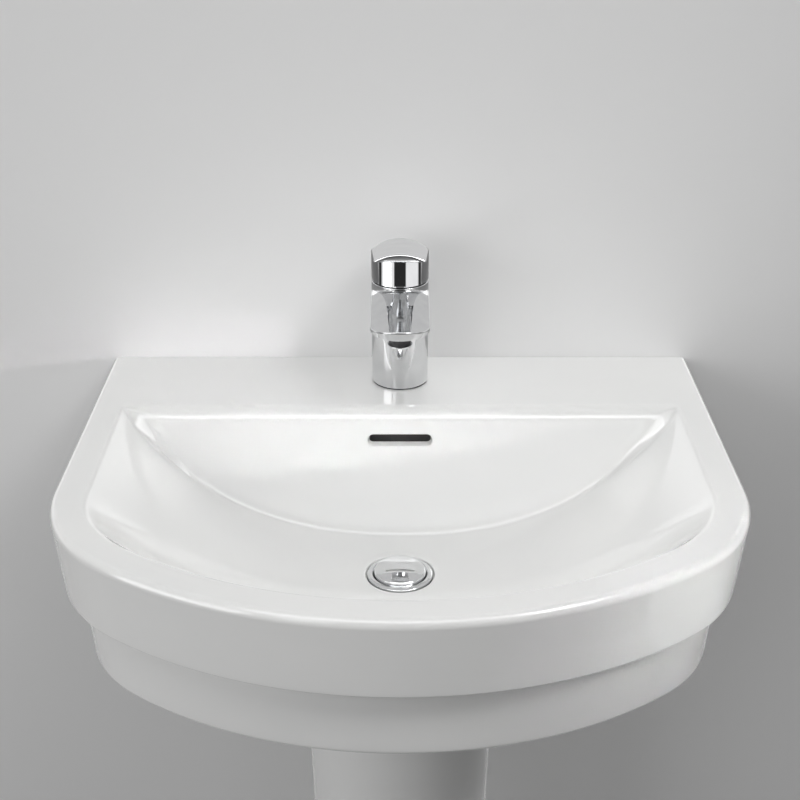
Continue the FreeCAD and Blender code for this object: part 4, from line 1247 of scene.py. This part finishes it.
@dataclass
class Pedestal:
    """Glazed hollow column, drawn in to a waist and open at the back."""

    height: float = 703
    foot: float = 100
    waist: float = 86
    head: float = 97
    waist_share: float = 0.4
    front_share: float = 0.9
    corner_share: float = 0.7
    straight: float = 28
    back: float = 115
    wall: float = 12
    edge_width: float = 2.5
    edge_angle: float = 50
    edge_steps: int = 4
    lug_side: float = 69.6
    lug_half: float = 22
    lug_front: float = 71
    lug_height: float = 14
    screw_side: float = 68
    screw_y: float = 93
    screw_drill: Span = (-5, 20)
    screw_hole: float = 4
    side_stations: int = 19
    corner_stations: int = 26
    bow_stations: int = 14
    rows: int = 48

    def half(self, share: float) -> float:
        """Half width, drawn in to the waist.

        Args:
            share: Share of the height.

        Returns:
            The half width there.
        """
        if share < self.waist_share:
            return self.waist + (self.foot - self.waist) * (1 - share / self.waist_share) ** 2
        rise = (share - self.waist_share) / (1 - self.waist_share)
        return self.waist + (self.head - self.waist) * rise**2

    def section(self, share: float) -> np.ndarray:
        """Outline of the column at a share of its height, from back left round to back right.

        Args:
            share: Share of the height.

        Returns:
            Points of the open outline.
        """
        half = self.half(share)
        reach, corner = half * self.front_share, half * self.corner_share
        end = BowedEnd(half, self.straight, reach, corner, -1)
        along_side = np.linspace(self.back, self.straight, self.side_stations)[:-1]
        right = [(half, y) for y in along_side]
        right += [(x, y) for x, y, _, _ in end.points(self.corner_stations, self.bow_stations)]
        left = [(-x, y) for x, y in right[-2::-1]]
        z = np.full((len(right) + len(left), 1), share * self.height)
        return np.hstack((np.array(right + left), z))

    def build(self) -> bpy.types.Object:
        """Build the column with its wall, its rounded ends and its drilled lugs.

        Returns:
            The finished piece.
        """
        sections = [self.section(share) for share in np.linspace(0, 1, self.rows + 1)]
        mesh = bmesh.new()
        across = len(sections[0]) - 1
        made = bmesh.ops.create_grid(mesh, x_segments=across, y_segments=self.rows, size=0.5)
        for vert in made["verts"]:
            station = round((vert.co.x + 0.5) * across)
            row = round((vert.co.y + 0.5) * self.rows)
            vert.co = sections[row][station] * MM
        mesh.normal_update()
        facing = (face.normal.dot(face.calc_center_median().xy.to_3d()) for face in mesh.faces)
        if sum(facing) < 0:
            bmesh.ops.reverse_faces(mesh, faces=mesh.faces)
        piece = as_object(mesh, "pedestal_glazed")
        shell = piece.modifiers.new("wall", "SOLIDIFY")
        shell.thickness = self.wall * MM
        shell.offset = -1
        shell.use_even_offset = True
        bake(piece)
        for vert in piece.data.vertices:
            vert.co.z = min(max(vert.co.z, 0), self.height * MM)
        edges = piece.modifiers.new("edges", "BEVEL")
        edges.limit_method = "ANGLE"
        edges.angle_limit = math.radians(self.edge_angle)
        edges.width = self.edge_width * MM
        edges.segments = self.edge_steps
        bake(piece)
        lugs, holes = [], []
        for side in (-1, 1):
            x = side * self.lug_side
            low = Vector((x - self.lug_half, self.lug_front, 0))
            lugs.append((low, Vector((x + self.lug_half, self.back, self.lug_height))))
            x = side * self.screw_side
            holes.append(upright(x, self.screw_y, self.screw_drill, self.screw_hole))
        work(piece, blocks("lugs", lugs), Cut.JOIN)
        work(piece, rods("lug_drills", holes), Cut.TAKE)
        return polish(piece)

    def dress(self, wardrobe: Wardrobe) -> None:
        """Build the column and dress it in glaze."""
        wardrobe.dress_made(self.build(), Slot.GLAZE, "basin_set", "pedestal")


# Tap


def mirrored(right: Sequence[tuple[float, float, float]]) -> np.ndarray:
    """Close a right-hand path that starts and ends on the middle plane into a ring.

    Args:
        right: Points from the top of the middle plane to its bottom.

    Returns:
        The whole ring.
    """
    left = [(-x, y, z) for x, y, z in right[-2:0:-1]]
    return np.array([*right, *left])


@dataclass
class TapBody:
    """Chrome column with a crowned spout and the aerator under its tip."""

    axis: float = 188
    radius: float = 28
    base: float = 851.5
    top: float = 957.5
    seat: float = 910
    bore: float = 18.05
    neck: float = 21
    neck_foot: float = 949
    spout_tip: float = 109
    under: float = 936
    ridge_root: float = 956
    ridge_tip: float = 945
    crown: float = 53
    edge: float = 0.9
    rounding: float = 0.7
    swell_start: float = 133
    swell_run: float = 27
    swell: float = 20
    root_inset: float = 2
    root_run: float = 12
    overrun: float = 4
    inlet_side: float = 8
    inlet_y: float = 193
    inlet_drill: Span = (840, 873.5)
    inlet_hole: float = 5
    stud_y: float = 178
    stud_drill: Span = (840, 870)
    stud_hole: float = 4.05
    socket_drill: Span = (925, 943.6)
    socket_hole: float = 10.35
    facets: int = 160
    aerator_facets: int = 96
    spout_rings: int = 40
    crown_stations: int = 22
    under_stations: int = 12

    def crown_at(self, x: float, y: float) -> float:
        """Height of the spout's crowned top.

        Args:
            x: Distance from the middle plane.
            y: Place from front to back.

        Returns:
            The height there.
        """
        front = self.axis - self.radius
        share = (front - y) / (front - self.spout_tip + self.radius)
        ridge = self.ridge_root + (self.ridge_tip - self.ridge_root) * share
        return min(ridge, self.top - 1) - self.crown + math.sqrt(self.crown**2 - x**2)

    def under_at(self, y: float) -> float:
        """Height of the spout's underside, which swells down towards the column."""
        share = min(max((y - self.swell_start) / self.swell_run, 0), 1)
        return self.under - self.swell * (1 - math.sqrt(1 - share**2))

    def section(self, y: float, half: float, tip_angle: float) -> np.ndarray:
        """Ring round the spout.

        Args:
            y: Place of the ring's sides.
            half: Half width there.
            tip_angle: How far the ring has gone round the spout's round tip.

        Returns:
            The closed ring.
        """
        lean = math.sin(tip_angle)
        straight = math.cos(tip_angle)
        inset = max(half - self.edge * straight, 0)
        inner_y = y + self.edge * lean
        right = []
        for share in np.linspace(0, 1, self.crown_stations):
            x = inset * share
            right.append((x, inner_y, self.crown_at(x, inner_y)))
        shoulder = self.crown_at(inset, inner_y)
        low = self.under_at(y)
        drop = min(self.edge, (shoulder - low) / 3)
        for angle in QUARTER_TURN:
            gone = self.edge * (1 - math.sin(angle))
            x = max(half - gone * straight, 0)
            right.append((x, y + gone * lean, shoulder - drop * (1 - math.cos(angle))))
        for share in (0.33, 0.67, 1.0):
            right.append((half, y, shoulder - drop + (low + drop - shoulder + drop) * share))
        for angle in COARSE_TURN:
            gone = self.edge * (1 - math.cos(angle))
            x = max(half - gone * straight, 0)
            right.append((x, y + gone * lean, low + drop * (1 - math.sin(angle))))
        for share in np.linspace(1, 0, self.under_stations)[1:]:
            right.append((inset * share, inner_y, low))
        return mirrored(right)

    def spout(self) -> bpy.types.Object:
        """The crowned tongue, with its root inside the column.

        Returns:
            The closed tongue.
        """
        rings = []
        for y in np.linspace(self.axis, self.spout_tip, self.spout_rings):
            grown = smooth_step(np.array((self.axis - y) / self.root_run))
            rings.append(self.section(y, self.radius - self.root_inset * float(1 - grown), 0))
        for angle in np.radians(np.linspace(0, 90, self.spout_rings)[1:]):
            y = self.spout_tip - self.radius * math.sin(angle)
            rings.append(self.section(y, self.radius * math.cos(angle), angle))
        return lofted("spout", rings, end_cap=False)

    def build(self) -> bpy.types.Object:
        """Build the column with its spout and its bores.

        Returns:
            The finished piece.
        """
        piece = spun(
            "tap_body_cast",
            [
                (0, self.base, 0),
                (self.radius, self.base, self.rounding),
                (self.radius, self.top, self.rounding),
                (0, self.top, 0),
            ],
            self.axis,
            steps=self.facets,
        )
        work(piece, self.spout(), Cut.JOIN)
        hollow = [
            (0, self.seat, 0),
            (self.bore, self.seat, 0),
            (self.bore, self.neck_foot, 0),
            (self.neck, self.neck_foot, 0),
            (self.neck, self.top + self.overrun, 0),
            (0, self.top + self.overrun, 0),
        ]
        work(piece, spun("tap_hollow", hollow, self.axis), Cut.TAKE)
        drills = [
            upright(x, self.inlet_y, self.inlet_drill, self.inlet_hole)
            for x in (-self.inlet_side, self.inlet_side)
        ]
        drills.append(upright(0, self.stud_y, self.stud_drill, self.stud_hole))
        drills.append(upright(0, self.spout_tip, self.socket_drill, self.socket_hole))
        work(piece, rods("tap_drills", drills), Cut.TAKE)
        return polish(piece)

    def aerator(self) -> bpy.types.Object:
        """Aerator ring with a groove for the dark band and a rounded lip.

        Returns:
            The finished piece.
        """
        ring = [
            (7, 921, 0.3),
            (12, 921, 0.6),
            (12, 922.9, 0.5),
            (9.5, 922.9, 0),
            (9.5, 935.95, 0),
            (10.3, 935.95, 0),
            (10.3, 941.95, 0.3),
            (8.3, 941.95, 0.2),
            (8.3, 922.3, 0),
            (7, 922.3, 0.2),
        ]
        steps = self.aerator_facets
        return polish(spun("aerator_ring", ring, self.spout_tip, closed=True, steps=steps))

    def dark_band(self) -> bpy.types.Object:
        """Dark band round the aerator, with its outer edges rounded.

        Returns:
            The finished piece.
        """
        band = [(9.55, 923, 0), (10.2, 923, 0.3), (10.2, 935.9, 0.3), (9.55, 935.9, 0)]
        steps = self.aerator_facets
        return polish(spun("aerator_grip_band", band, self.spout_tip, closed=True, steps=steps))

    def dress(self, wardrobe: Wardrobe) -> None:
        """Build the body, the aerator and its band, and dress them in chrome and rubber.

        Args:
            wardrobe: The finishes.
        """
        wardrobe.dress_made(self.build(), Slot.CHROME, "basin_set", "tap_body")
        wardrobe.dress_made(self.aerator(), Slot.CHROME, "basin_set", "aerator_housing")
        wardrobe.dress_made(self.dark_band(), Slot.RUBBER, "basin_set")


@dataclass
class LeverHandle:
    """Chrome hub with a crowned lever on top."""

    axis: float = 188
    radius: float = 28
    bottom: float = 958.5
    back_ridge: float = 990
    tip_ridge: float = 1013
    tip: float = 103
    tip_half: float = 24
    thickness: float = 8
    crown: float = 50
    edge: float = 0.9
    tip_edge: float = 2.6
    relief_angle: float = 24
    front_lean: float = 12
    thinnest: float = 1.9
    side_gap: float = 0.3
    under_gap: float = 0.35
    cavity: float = 24
    cavity_height: float = 959
    index_height: float = 984
    index_drill: Span = (213, 225)
    index_hole: float = 3.55
    hub_rings: int = 81
    lever_rings: int = 30
    tip_rings: int = 10
    crown_stations: int = 24
    under_stations: int = 10
    hub_stations: int = 12
    foot_stations: int = 11

    def ridge(self, y: float) -> float:
        """Height of the lever's ridge.

        Args:
            y: Place from front to back.

        Returns:
            The height there.
        """
        back = self.axis + self.radius
        rise = self.tip_ridge - self.back_ridge
        return self.back_ridge + rise * (back - y) / (back - self.tip)

    def crown_at(self, x: float, y: float) -> float:
        """Height of the crowned top."""
        return self.ridge(y) - self.crown + math.sqrt(self.crown**2 - x**2)

    def under_at(self, x: float, y: float) -> float:
        """Height of the lever's underside."""
        return min(self.ridge(y) - self.thickness, self.crown_at(x, y) - self.thinnest)

    def foot_at(self, y: float) -> float:
        """Height of the hub's bottom, relieved at the back so that the lever can lift."""
        return self.bottom + max(y - self.axis, 0) * math.tan(math.radians(self.relief_angle))

    def lever_half(self, y: float) -> float:
        """Half width of the lever."""
        taper = self.tip_half - self.radius
        return self.radius + taper * (self.axis - y) / (self.axis - self.tip)

    def section(self, y: float, angle: float | None, blunt: float = 0.0) -> np.ndarray:
        """Ring round the hub and the lever.

        Args:
            y: Place of the ring.
            angle: Angle round the hub, from the back at -90 degrees to the front at 90 degrees,
                or None in front of the hub.
            blunt: How far the ring is drawn in at the rounded tip.

        Returns:
            The closed ring.
        """
        behind = angle is not None and angle < 0
        lean, straight = (math.sin(angle), math.cos(angle)) if behind else (0.0, 1.0)
        half = self.radius * straight if behind else self.lever_half(y) - blunt
        edge = self.edge
        inset = max(half - edge * straight, 0)
        inner_y = y + edge * lean
        right = []
        for share in np.linspace(0, 1, self.crown_stations):
            x = inset * share
            right.append((x, inner_y, self.crown_at(x, inner_y) - blunt))
        shoulder = self.crown_at(inset, inner_y) - blunt
        for turn in QUARTER_TURN:
            gone = edge * (1 - math.sin(turn))
            x = max(half - gone * straight, 0)
            right.append((x, y + gone * lean, shoulder - edge * (1 - math.cos(turn))))
        low = min(self.under_at(half, y) + blunt, shoulder - edge - self.side_gap)
        right.append((half, y, (shoulder - edge + low) / 2))
        foot = self.foot_at(y)
        hub_straight, hub_lean = 0.0, 0.0
        if angle is not None:
            hub_straight, hub_lean = math.cos(angle), math.sin(angle)
        frontal = float(smooth_step(np.array(hub_lean * 2)))
        slope = math.tan(math.radians(self.front_lean)) * frontal

        def hub_at(z: float) -> Corner:
            """Point on the hub's wall, whose front leans back towards its top."""
            back = slope * max(z - foot, 0)
            return self.radius * hub_straight, y if angle is None else y + back, z

        hub_half, hub_y, _ = hub_at(self.under_at(self.radius * hub_straight, y))
        for share in np.linspace(0, 1, self.under_stations):
            x = half + (hub_half - half) * share
            highest = self.crown_at(x, y) - blunt - edge - self.under_gap
            under = min(self.under_at(x, y) + blunt, highest)
            right.append((x, y + (hub_y - y) * share, low if share == 0 else under))
        if angle is None:
            right += [right[-1]] * (self.hub_stations + len(QUARTER_TURN) + self.foot_stations)
            return mirrored(right)
        start = right[-1][2]
        for share in np.linspace(0, 1, self.hub_stations + 1)[1:]:
            right.append(hub_at(start + (foot + edge - start) * float(share)))
        hub_half, hub_y, _ = hub_at(foot)
        for turn in QUARTER_TURN:
            gone = edge * (1 - math.cos(turn))
            x = max(hub_half - gone * hub_straight, 0)
            right.append((x, hub_y + gone * hub_lean, foot + edge * (1 - math.sin(turn))))
        inset = max(hub_half - edge * hub_straight, 0)
        for share in np.linspace(1, 0, self.foot_stations + 1)[1:]:
            right.append((inset * share, hub_y + edge * hub_lean, foot))
        return mirrored(right)

    def build(self) -> bpy.types.Object:
        """Build the handle with its cavity and the hole for the index plug.

        Returns:
            The finished piece.
        """
        rings = []
        for angle in np.radians(np.linspace(-90, 90, self.hub_rings)):
            rings.append(self.section(self.axis - self.radius * math.sin(angle), float(angle)))
        front = self.axis - self.radius
        for y in np.linspace(front, self.tip + self.tip_edge, self.lever_rings):
            rings.append(self.section(y, None))
        for turn in np.radians(np.linspace(0, 90, self.tip_rings)[1:]):
            y = self.tip + self.tip_edge * (1 - math.sin(turn))
            rings.append(self.section(y, None, self.tip_edge * (1 - math.cos(turn))))
        skin = Loft(rings[0])
        for ring in rings[1:]:
            skin.pull(ring)
        bmesh.ops.remove_doubles(skin.mesh, verts=skin.mesh.verts, dist=WELD)
        folds = [
            face for face in skin.mesh.faces if all(abs(vert.co.x) < WELD for vert in face.verts)
        ]
        bmesh.ops.delete(skin.mesh, geom=folds, context="FACES")
        skin.ring = [edge for edge in skin.mesh.edges if edge.is_boundary]
        skin.cap()
        piece = skin.finish("lever_handle_cast")
        mesh = bmesh.new()
        bmesh.ops.create_uvsphere(mesh, u_segments=96, v_segments=48, radius=self.cavity * MM)
        middle = Vector((0, self.axis, self.cavity_height)) * MM
        bmesh.ops.translate(mesh, verts=mesh.verts, vec=middle)
        work(piece, as_object(mesh, "cavity"), Cut.TAKE)
        start, end = (Vector((0, y, self.index_height)) for y in self.index_drill)
        work(piece, rods("index_drill", [(start, end, self.index_hole)]), Cut.TAKE)
        return polish(piece)

    def dress(self, wardrobe: Wardrobe) -> None:
        """Build the handle and dress it in chrome."""
        wardrobe.dress_made(self.build(), Slot.CHROME, "lever", "lever_handle")


# Waste


@dataclass
class Waste:
    """Flanged waste with its domed click plug."""

    axis: float = 1.5
    window_half: float = 10
    window_reach: float = 21
    window: Span = (714, 729)
    web: Span = (668.3, 674.3)
    web_reach: float = 19.5
    web_half: float = 3
    hub: float = 8
    spigot: float = 3.55
    spigot_drill: Span = (660, 680)
    plug_under: float = 737.3
    plug_height: float = 6.2
    plug_radius: float = 24
    plug_rounding: float = 3.6
    dome_rise: float = 1.6
    dome_half: float = 20
    dome_share: float = 0.96
    dome_steps: int = 16
    boss: float = 8
    boss_foot: float = 724.3
    boss_bore: float = 3.05
    bore_top: float = 733.3

    def across(self, half: float, reach: float, span: Span) -> tuple[Vector, Vector]:
        """Block about the drain's axis, from a half width, a half depth and two heights."""
        low = Vector((-half, self.axis - reach, span[0]))
        return low, Vector((half, self.axis + reach, span[1]))

    def flange(self) -> bpy.types.Object:
        """Tail with a bevelled flange, a plug seat, overflow windows and a cross web.

        Returns:
            The finished piece.
        """
        piece = spun(
            "waste_turned",
            [
                (18, 660.5, 0.4),
                (21, 660.5, 0.6),
                (21, 729.5, 0),
                (27.5, 735.5, 0),
                (30.4, 735.5, 0.3),
                (30.4, 737.2, 0.9),
                (28.6, 738.5, 1.4),
                (26.0, 738.5, 0.6),
                (18, 730.5, 2),
            ],
            self.axis,
            closed=True,
        )
        windows = self.across(self.window_half, self.window_reach, self.window)
        work(piece, blocks("window_tool", [windows]), Cut.TAKE)
        web = self.across(self.web_reach, self.web_half, self.web)
        work(piece, blocks("web", [web]), Cut.JOIN)
        work(piece, rods("hub", [upright(0, self.axis, self.web, self.hub)]), Cut.JOIN)
        spigot = upright(0, self.axis, self.spigot_drill, self.spigot)
        work(piece, rods("hub_drill", [spigot]), Cut.TAKE)
        return polish(piece)

    def plug(self) -> bpy.types.Object:
        """Domed plug cap on its boss.

        Returns:
            The finished piece.
        """
        bow = (self.dome_half**2 + self.dome_rise**2) / (2 * self.dome_rise)
        top = self.plug_under + self.plug_height
        dome = []
        for share in np.linspace(self.dome_share, 0, self.dome_steps):
            radius = self.dome_half * float(share)
            dome.append((radius, top - bow + math.sqrt(bow**2 - radius**2), 0))
        under_side = [
            (0, self.bore_top, 0),
            (self.boss_bore, self.bore_top, 0),
            (self.boss_bore, self.boss_foot, 0),
            (self.boss, self.boss_foot, 0.4),
            (self.boss, self.plug_under, 0),
            (self.plug_radius, self.plug_under, 0.3),
            (self.plug_radius, top - self.dome_rise - 0.4, self.plug_rounding),
        ]
        return polish(spun("plug_cap_domed", [*under_side, *dome], self.axis))

    def dress(self, wardrobe: Wardrobe) -> None:
        """Build the waste and the plug and dress them in chrome."""
        wardrobe.dress_made(self.flange(), Slot.CHROME, "basin_set", "waste_body")
        wardrobe.dress_made(self.plug(), Slot.CHROME, "plug", "plug_cap")


# Stage


@dataclass(frozen=True)
class Lamp:
    """Soft rectangular lamp: its place and aim, its width and height, and its power in watts.

    Spread is the angle in degrees that its light fills, and glow which surfaces it lights.
    """

    name: str
    place: Place
    aim: Place
    size: Span
    power: float
    spread: float = 180
    glow: Glow = Glow.ALL

    def hang(self) -> None:
        """Make the lamp and hang it in the scene."""
        data = bpy.data.lights.new(self.name, "AREA")
        data.shape = "RECTANGLE"
        data.size, data.size_y = self.size
        data.energy = self.power
        data.spread = math.radians(self.spread)
        made = bpy.data.objects.new(self.name, data)
        made.location = self.place
        made.rotation_mode = "QUATERNION"
        heading = Vector(self.aim) - Vector(self.place)
        made.rotation_quaternion = heading.to_track_quat("-Z", "Y")
        made.visible_diffuse = self.glow is not Glow.GLOSS
        made.visible_glossy = self.glow is not Glow.MATT
        bpy.context.scene.collection.objects.link(made)


MIDDLE = (0, 0, 0.8)
RIGHT_BAND = (0.27, -0.17, 0.835)
LAMPS = (
    Lamp("overhead", (0, -1.15, 2.85), MIDDLE, (2.8, 0.45), 12.5),
    Lamp("high_right", (1.3, -0.95, 2.65), (0.2, -0.05, 0.9), (0.8, 0.8), 1.5, spread=50),
    Lamp("wide_left", (-2.1, -1.5, 1.35), MIDDLE, (1.6, 1.6), 23),
    Lamp("behind", (0, 2.2, 2.2), MIDDLE, (2.4, 2), 32, glow=Glow.MATT),
    Lamp("front_strip", (-0.87, -2.05, 1.85), MIDDLE, (0.5, 1), 2.8),
    Lamp("front_strip", (0.87, -2.05, 1.85), MIDDLE, (0.5, 1), 1.5),
    Lamp("window", (0, -1.15, 2.85), MIDDLE, (2.8, 0.7), 36, glow=Glow.GLOSS),
    Lamp("right_beam", (1.7, -1.35, 1.1), RIGHT_BAND, (0.12, 0.12), 0.06, 9, Glow.MATT),
)


class Sums:
    """Sums on the sockets of one node tree."""

    def __init__(self, tree: bpy.types.NodeTree) -> None:
        """Work in the given tree."""
        self.nodes, self.links = tree.nodes, tree.links

    def step(self, kind: str, *given: Value) -> Socket:
        """One sum.

        Args:
            kind: The sum's operation.
            given: What it works on.

        Returns:
            The socket of its result.
        """
        node = self.nodes.new("ShaderNodeMath")
        node.operation = kind
        for socket, value in zip(node.inputs, given):
            if isinstance(value, Socket):
                self.links.new(value, socket)
            else:
                socket.default_value = value
        return node.outputs[0]

    def times(self, first: Value, second: Value) -> Socket:
        """The product of two values."""
        return self.step("MULTIPLY", first, second)

    def ramp(self, value: Socket, span: Span) -> Socket:
        """Ease a value from 0 at the span's start to 1 at its end.

        Args:
            value: The value.
            span: Start and end, in either order.

        Returns:
            The socket of the eased value.
        """
        node = self.nodes.new("ShaderNodeMapRange")
        node.interpolation_type = "SMOOTHSTEP"
        for label, number in zip(("From Min", "From Max"), span):
            node.inputs[label].default_value = number
        self.links.new(value, node.inputs["Value"])
        return node.outputs["Result"]

    def band(self, value: Socket, foot: Span, head: Span) -> Socket:
        """1 where a value lies past its foot and short of its head."""
        return self.times(self.ramp(value, foot), self.ramp(value, head))

    def mix(self, share: Socket, off: Value, on: Value) -> Socket:
        """Blend two tones by a share."""
        rest = self.step("SUBTRACT", 1.0, share)
        return self.step("ADD", self.times(share, on), self.times(rest, off))


@dataclass(frozen=True)
class Room:
    """Even room light, and a studio of pale panels and a dark gap that only gloss shows.

    Each pair is where a tone starts to show and where it shows fully, as a height or as a turn
    away from the front of the direction that is seen.
    """

    fill: float = 0.19
    low_fill: float = 0.07
    pale: float = 0.65
    panel: float = 1.1
    gap: float = 0.03
    shade: float = 0.2
    back_panel: float = 1.5
    horizon: Span = (-0.1, 0.1)
    panel_foot: Span = (-0.2, -0.14)
    panel_head: Span = (0.2, 0.13)
    panel_near: Span = (0.36, 0.44)
    panel_far: Span = (1.25, 1.4)
    panel_end: Span = (1.7, 1.5)
    shade_foot: Span = (-0.65, -0.55)
    shade_head: Span = (0.95, 0.85)
    shade_side: Span = (0.44, 0.36)
    back_foot: Span = (-0.02, 0.06)
    back_head: Span = (0.3, 0.2)
    back_front: Span = (0.1, 0.3)

    def build(self) -> bpy.types.World:
        """Make the world.

        Returns:
            The world.
        """
        world = bpy.data.worlds.new("room")
        world.use_nodes = True
        nodes, links = world.node_tree.nodes, world.node_tree.links
        sums = Sums(world.node_tree)
        place = nodes.new("ShaderNodeTexCoord")
        split = nodes.new("ShaderNodeSeparateXYZ")
        links.new(place.outputs["Generated"], split.inputs["Vector"])
        x, y, z = split.outputs
        turn = sums.step("ABSOLUTE", sums.step("ARCTAN2", x, sums.times(y, -1.0)))
        panels = sums.mix(sums.ramp(turn, self.panel_near), self.gap, self.panel)
        panels = sums.mix(sums.ramp(turn, self.panel_far), panels, self.gap)
        shaded = sums.band(z, self.shade_foot, self.shade_head)
        shaded = sums.times(shaded, sums.ramp(turn, self.shade_side))
        shown = sums.mix(shaded, self.pale, self.shade)
        level = sums.band(z, self.panel_foot, self.panel_head)
        level = sums.times(level, sums.ramp(turn, self.panel_end))
        shown = sums.mix(level, shown, panels)
        behind = sums.band(z, self.back_foot, self.back_head)
        behind = sums.times(behind, sums.ramp(y, self.back_front))
        shown = sums.mix(behind, shown, self.back_panel)
        rays = nodes.new("ShaderNodeLightPath").outputs
        around = sums.mix(sums.ramp(z, self.horizon), self.low_fill, self.fill)
        tone = sums.mix(rays["Is Glossy Ray"], around, shown)
        seen = sums.step("MAXIMUM", rays["Is Camera Ray"], rays["Is Transmission Ray"])
        links.new(sums.mix(seen, tone, self.pale), nodes["Background"].inputs["Color"])
        return world


@dataclass
class Stage:
    """Plain pale floor and wall, soft light and the camera."""

    wall_y: float = 0.2435
    wall_tone: float = 0.84
    floor_tone: float = 0.7
    reach: float = 6
    wall_half: float = 3
    roughness: float = 0.8
    shine: float = 0.1
    lens: float = 63
    sensor: float = 36
    tilt: float = 64.6
    camera_place: Place = (0, -1.1018, 1.4387)

    def plain(self, name: str, tone: float) -> bpy.types.Material:
        """Matt material of the floor and the wall, clear when seen from behind.

        Args:
            name: Name of the material.
            tone: Its grey.

        Returns:
            The finished material.
        """
        made = bpy.data.materials.new(name)
        made.use_nodes = True
        nodes, links = made.node_tree.nodes, made.node_tree.links
        shader = nodes["Principled BSDF"]
        shader.inputs["Base Color"].default_value = (tone, tone, tone, 1)
        shader.inputs["Roughness"].default_value = self.roughness
        shader.inputs["Specular IOR Level"].default_value = self.shine
        clear = nodes.new("ShaderNodeBsdfTransparent")
        side = nodes.new("ShaderNodeNewGeometry")
        choose = nodes.new("ShaderNodeMixShader")
        links.new(side.outputs["Backfacing"], choose.inputs["Fac"])
        links.new(shader.outputs["BSDF"], choose.inputs[1])
        links.new(clear.outputs["BSDF"], choose.inputs[2])
        links.new(choose.outputs["Shader"], nodes["Material Output"].inputs["Surface"])
        return made

    def sheet(
        self, name: str, middle: Vector, across: Vector, along: Vector, tone: float
    ) -> bpy.types.Object:
        """Flat stage sheet that faces the cross product of its two directions.

        Args:
            name: Name of the sheet.
            middle: Its middle.
            across: Half of one side.
            along: Half of the other side.
            tone: Its grey.

        Returns:
            The staged object.
        """
        mesh = bmesh.new()
        bmesh.ops.create_grid(mesh, x_segments=1, y_segments=1, size=1)
        for vert in mesh.verts:
            vert.co = middle + across * vert.co.x + along * vert.co.y
        made = as_object(mesh, name)
        made.data.materials.append(self.plain(f"{name}_paint", tone))
        return made

    def build(self) -> None:
        """Set the stage, the light and the camera."""
        scene = bpy.context.scene
        scene.view_settings.view_transform = "Standard"
        scene.world = Room().build()
        across, along = Vector((self.reach, 0, 0)), Vector((0, self.reach, 0))
        floor = self.sheet("floor", Vector((0, 0, 0)), across, along, self.floor_tone)
        floor.visible_diffuse = False
        middle, along = Vector((0, self.wall_y, self.wall_half)), Vector((0, 0, self.wall_half))
        wall = self.sheet("backdrop", middle, across, along, self.wall_tone)
        wall.visible_diffuse = False
        wall.visible_glossy = False
        wall.visible_shadow = False
        for lamp in LAMPS:
            lamp.hang()
        data = bpy.data.cameras.new("camera")
        data.lens = self.lens
        data.sensor_width = self.sensor
        camera = bpy.data.objects.new("camera", data)
        camera.location = self.camera_place
        camera.rotation_euler = (math.radians(self.tilt), 0, 0)
        scene.collection.objects.link(camera)
        scene.camera = camera


def main() -> None:
    """Build every piece, dress it and set the stage."""
    logging.basicConfig(level=logging.INFO, format="%(message)s")
    wardrobe = Wardrobe()
    for part in (Basin(), Pedestal(), TapBody(), LeverHandle(), Waste()):
        part.dress(wardrobe)
    wardrobe.dress_solids()
    Stage().build()
    bpy.context.view_layer.update()


if __name__ == "__main__":
    main()
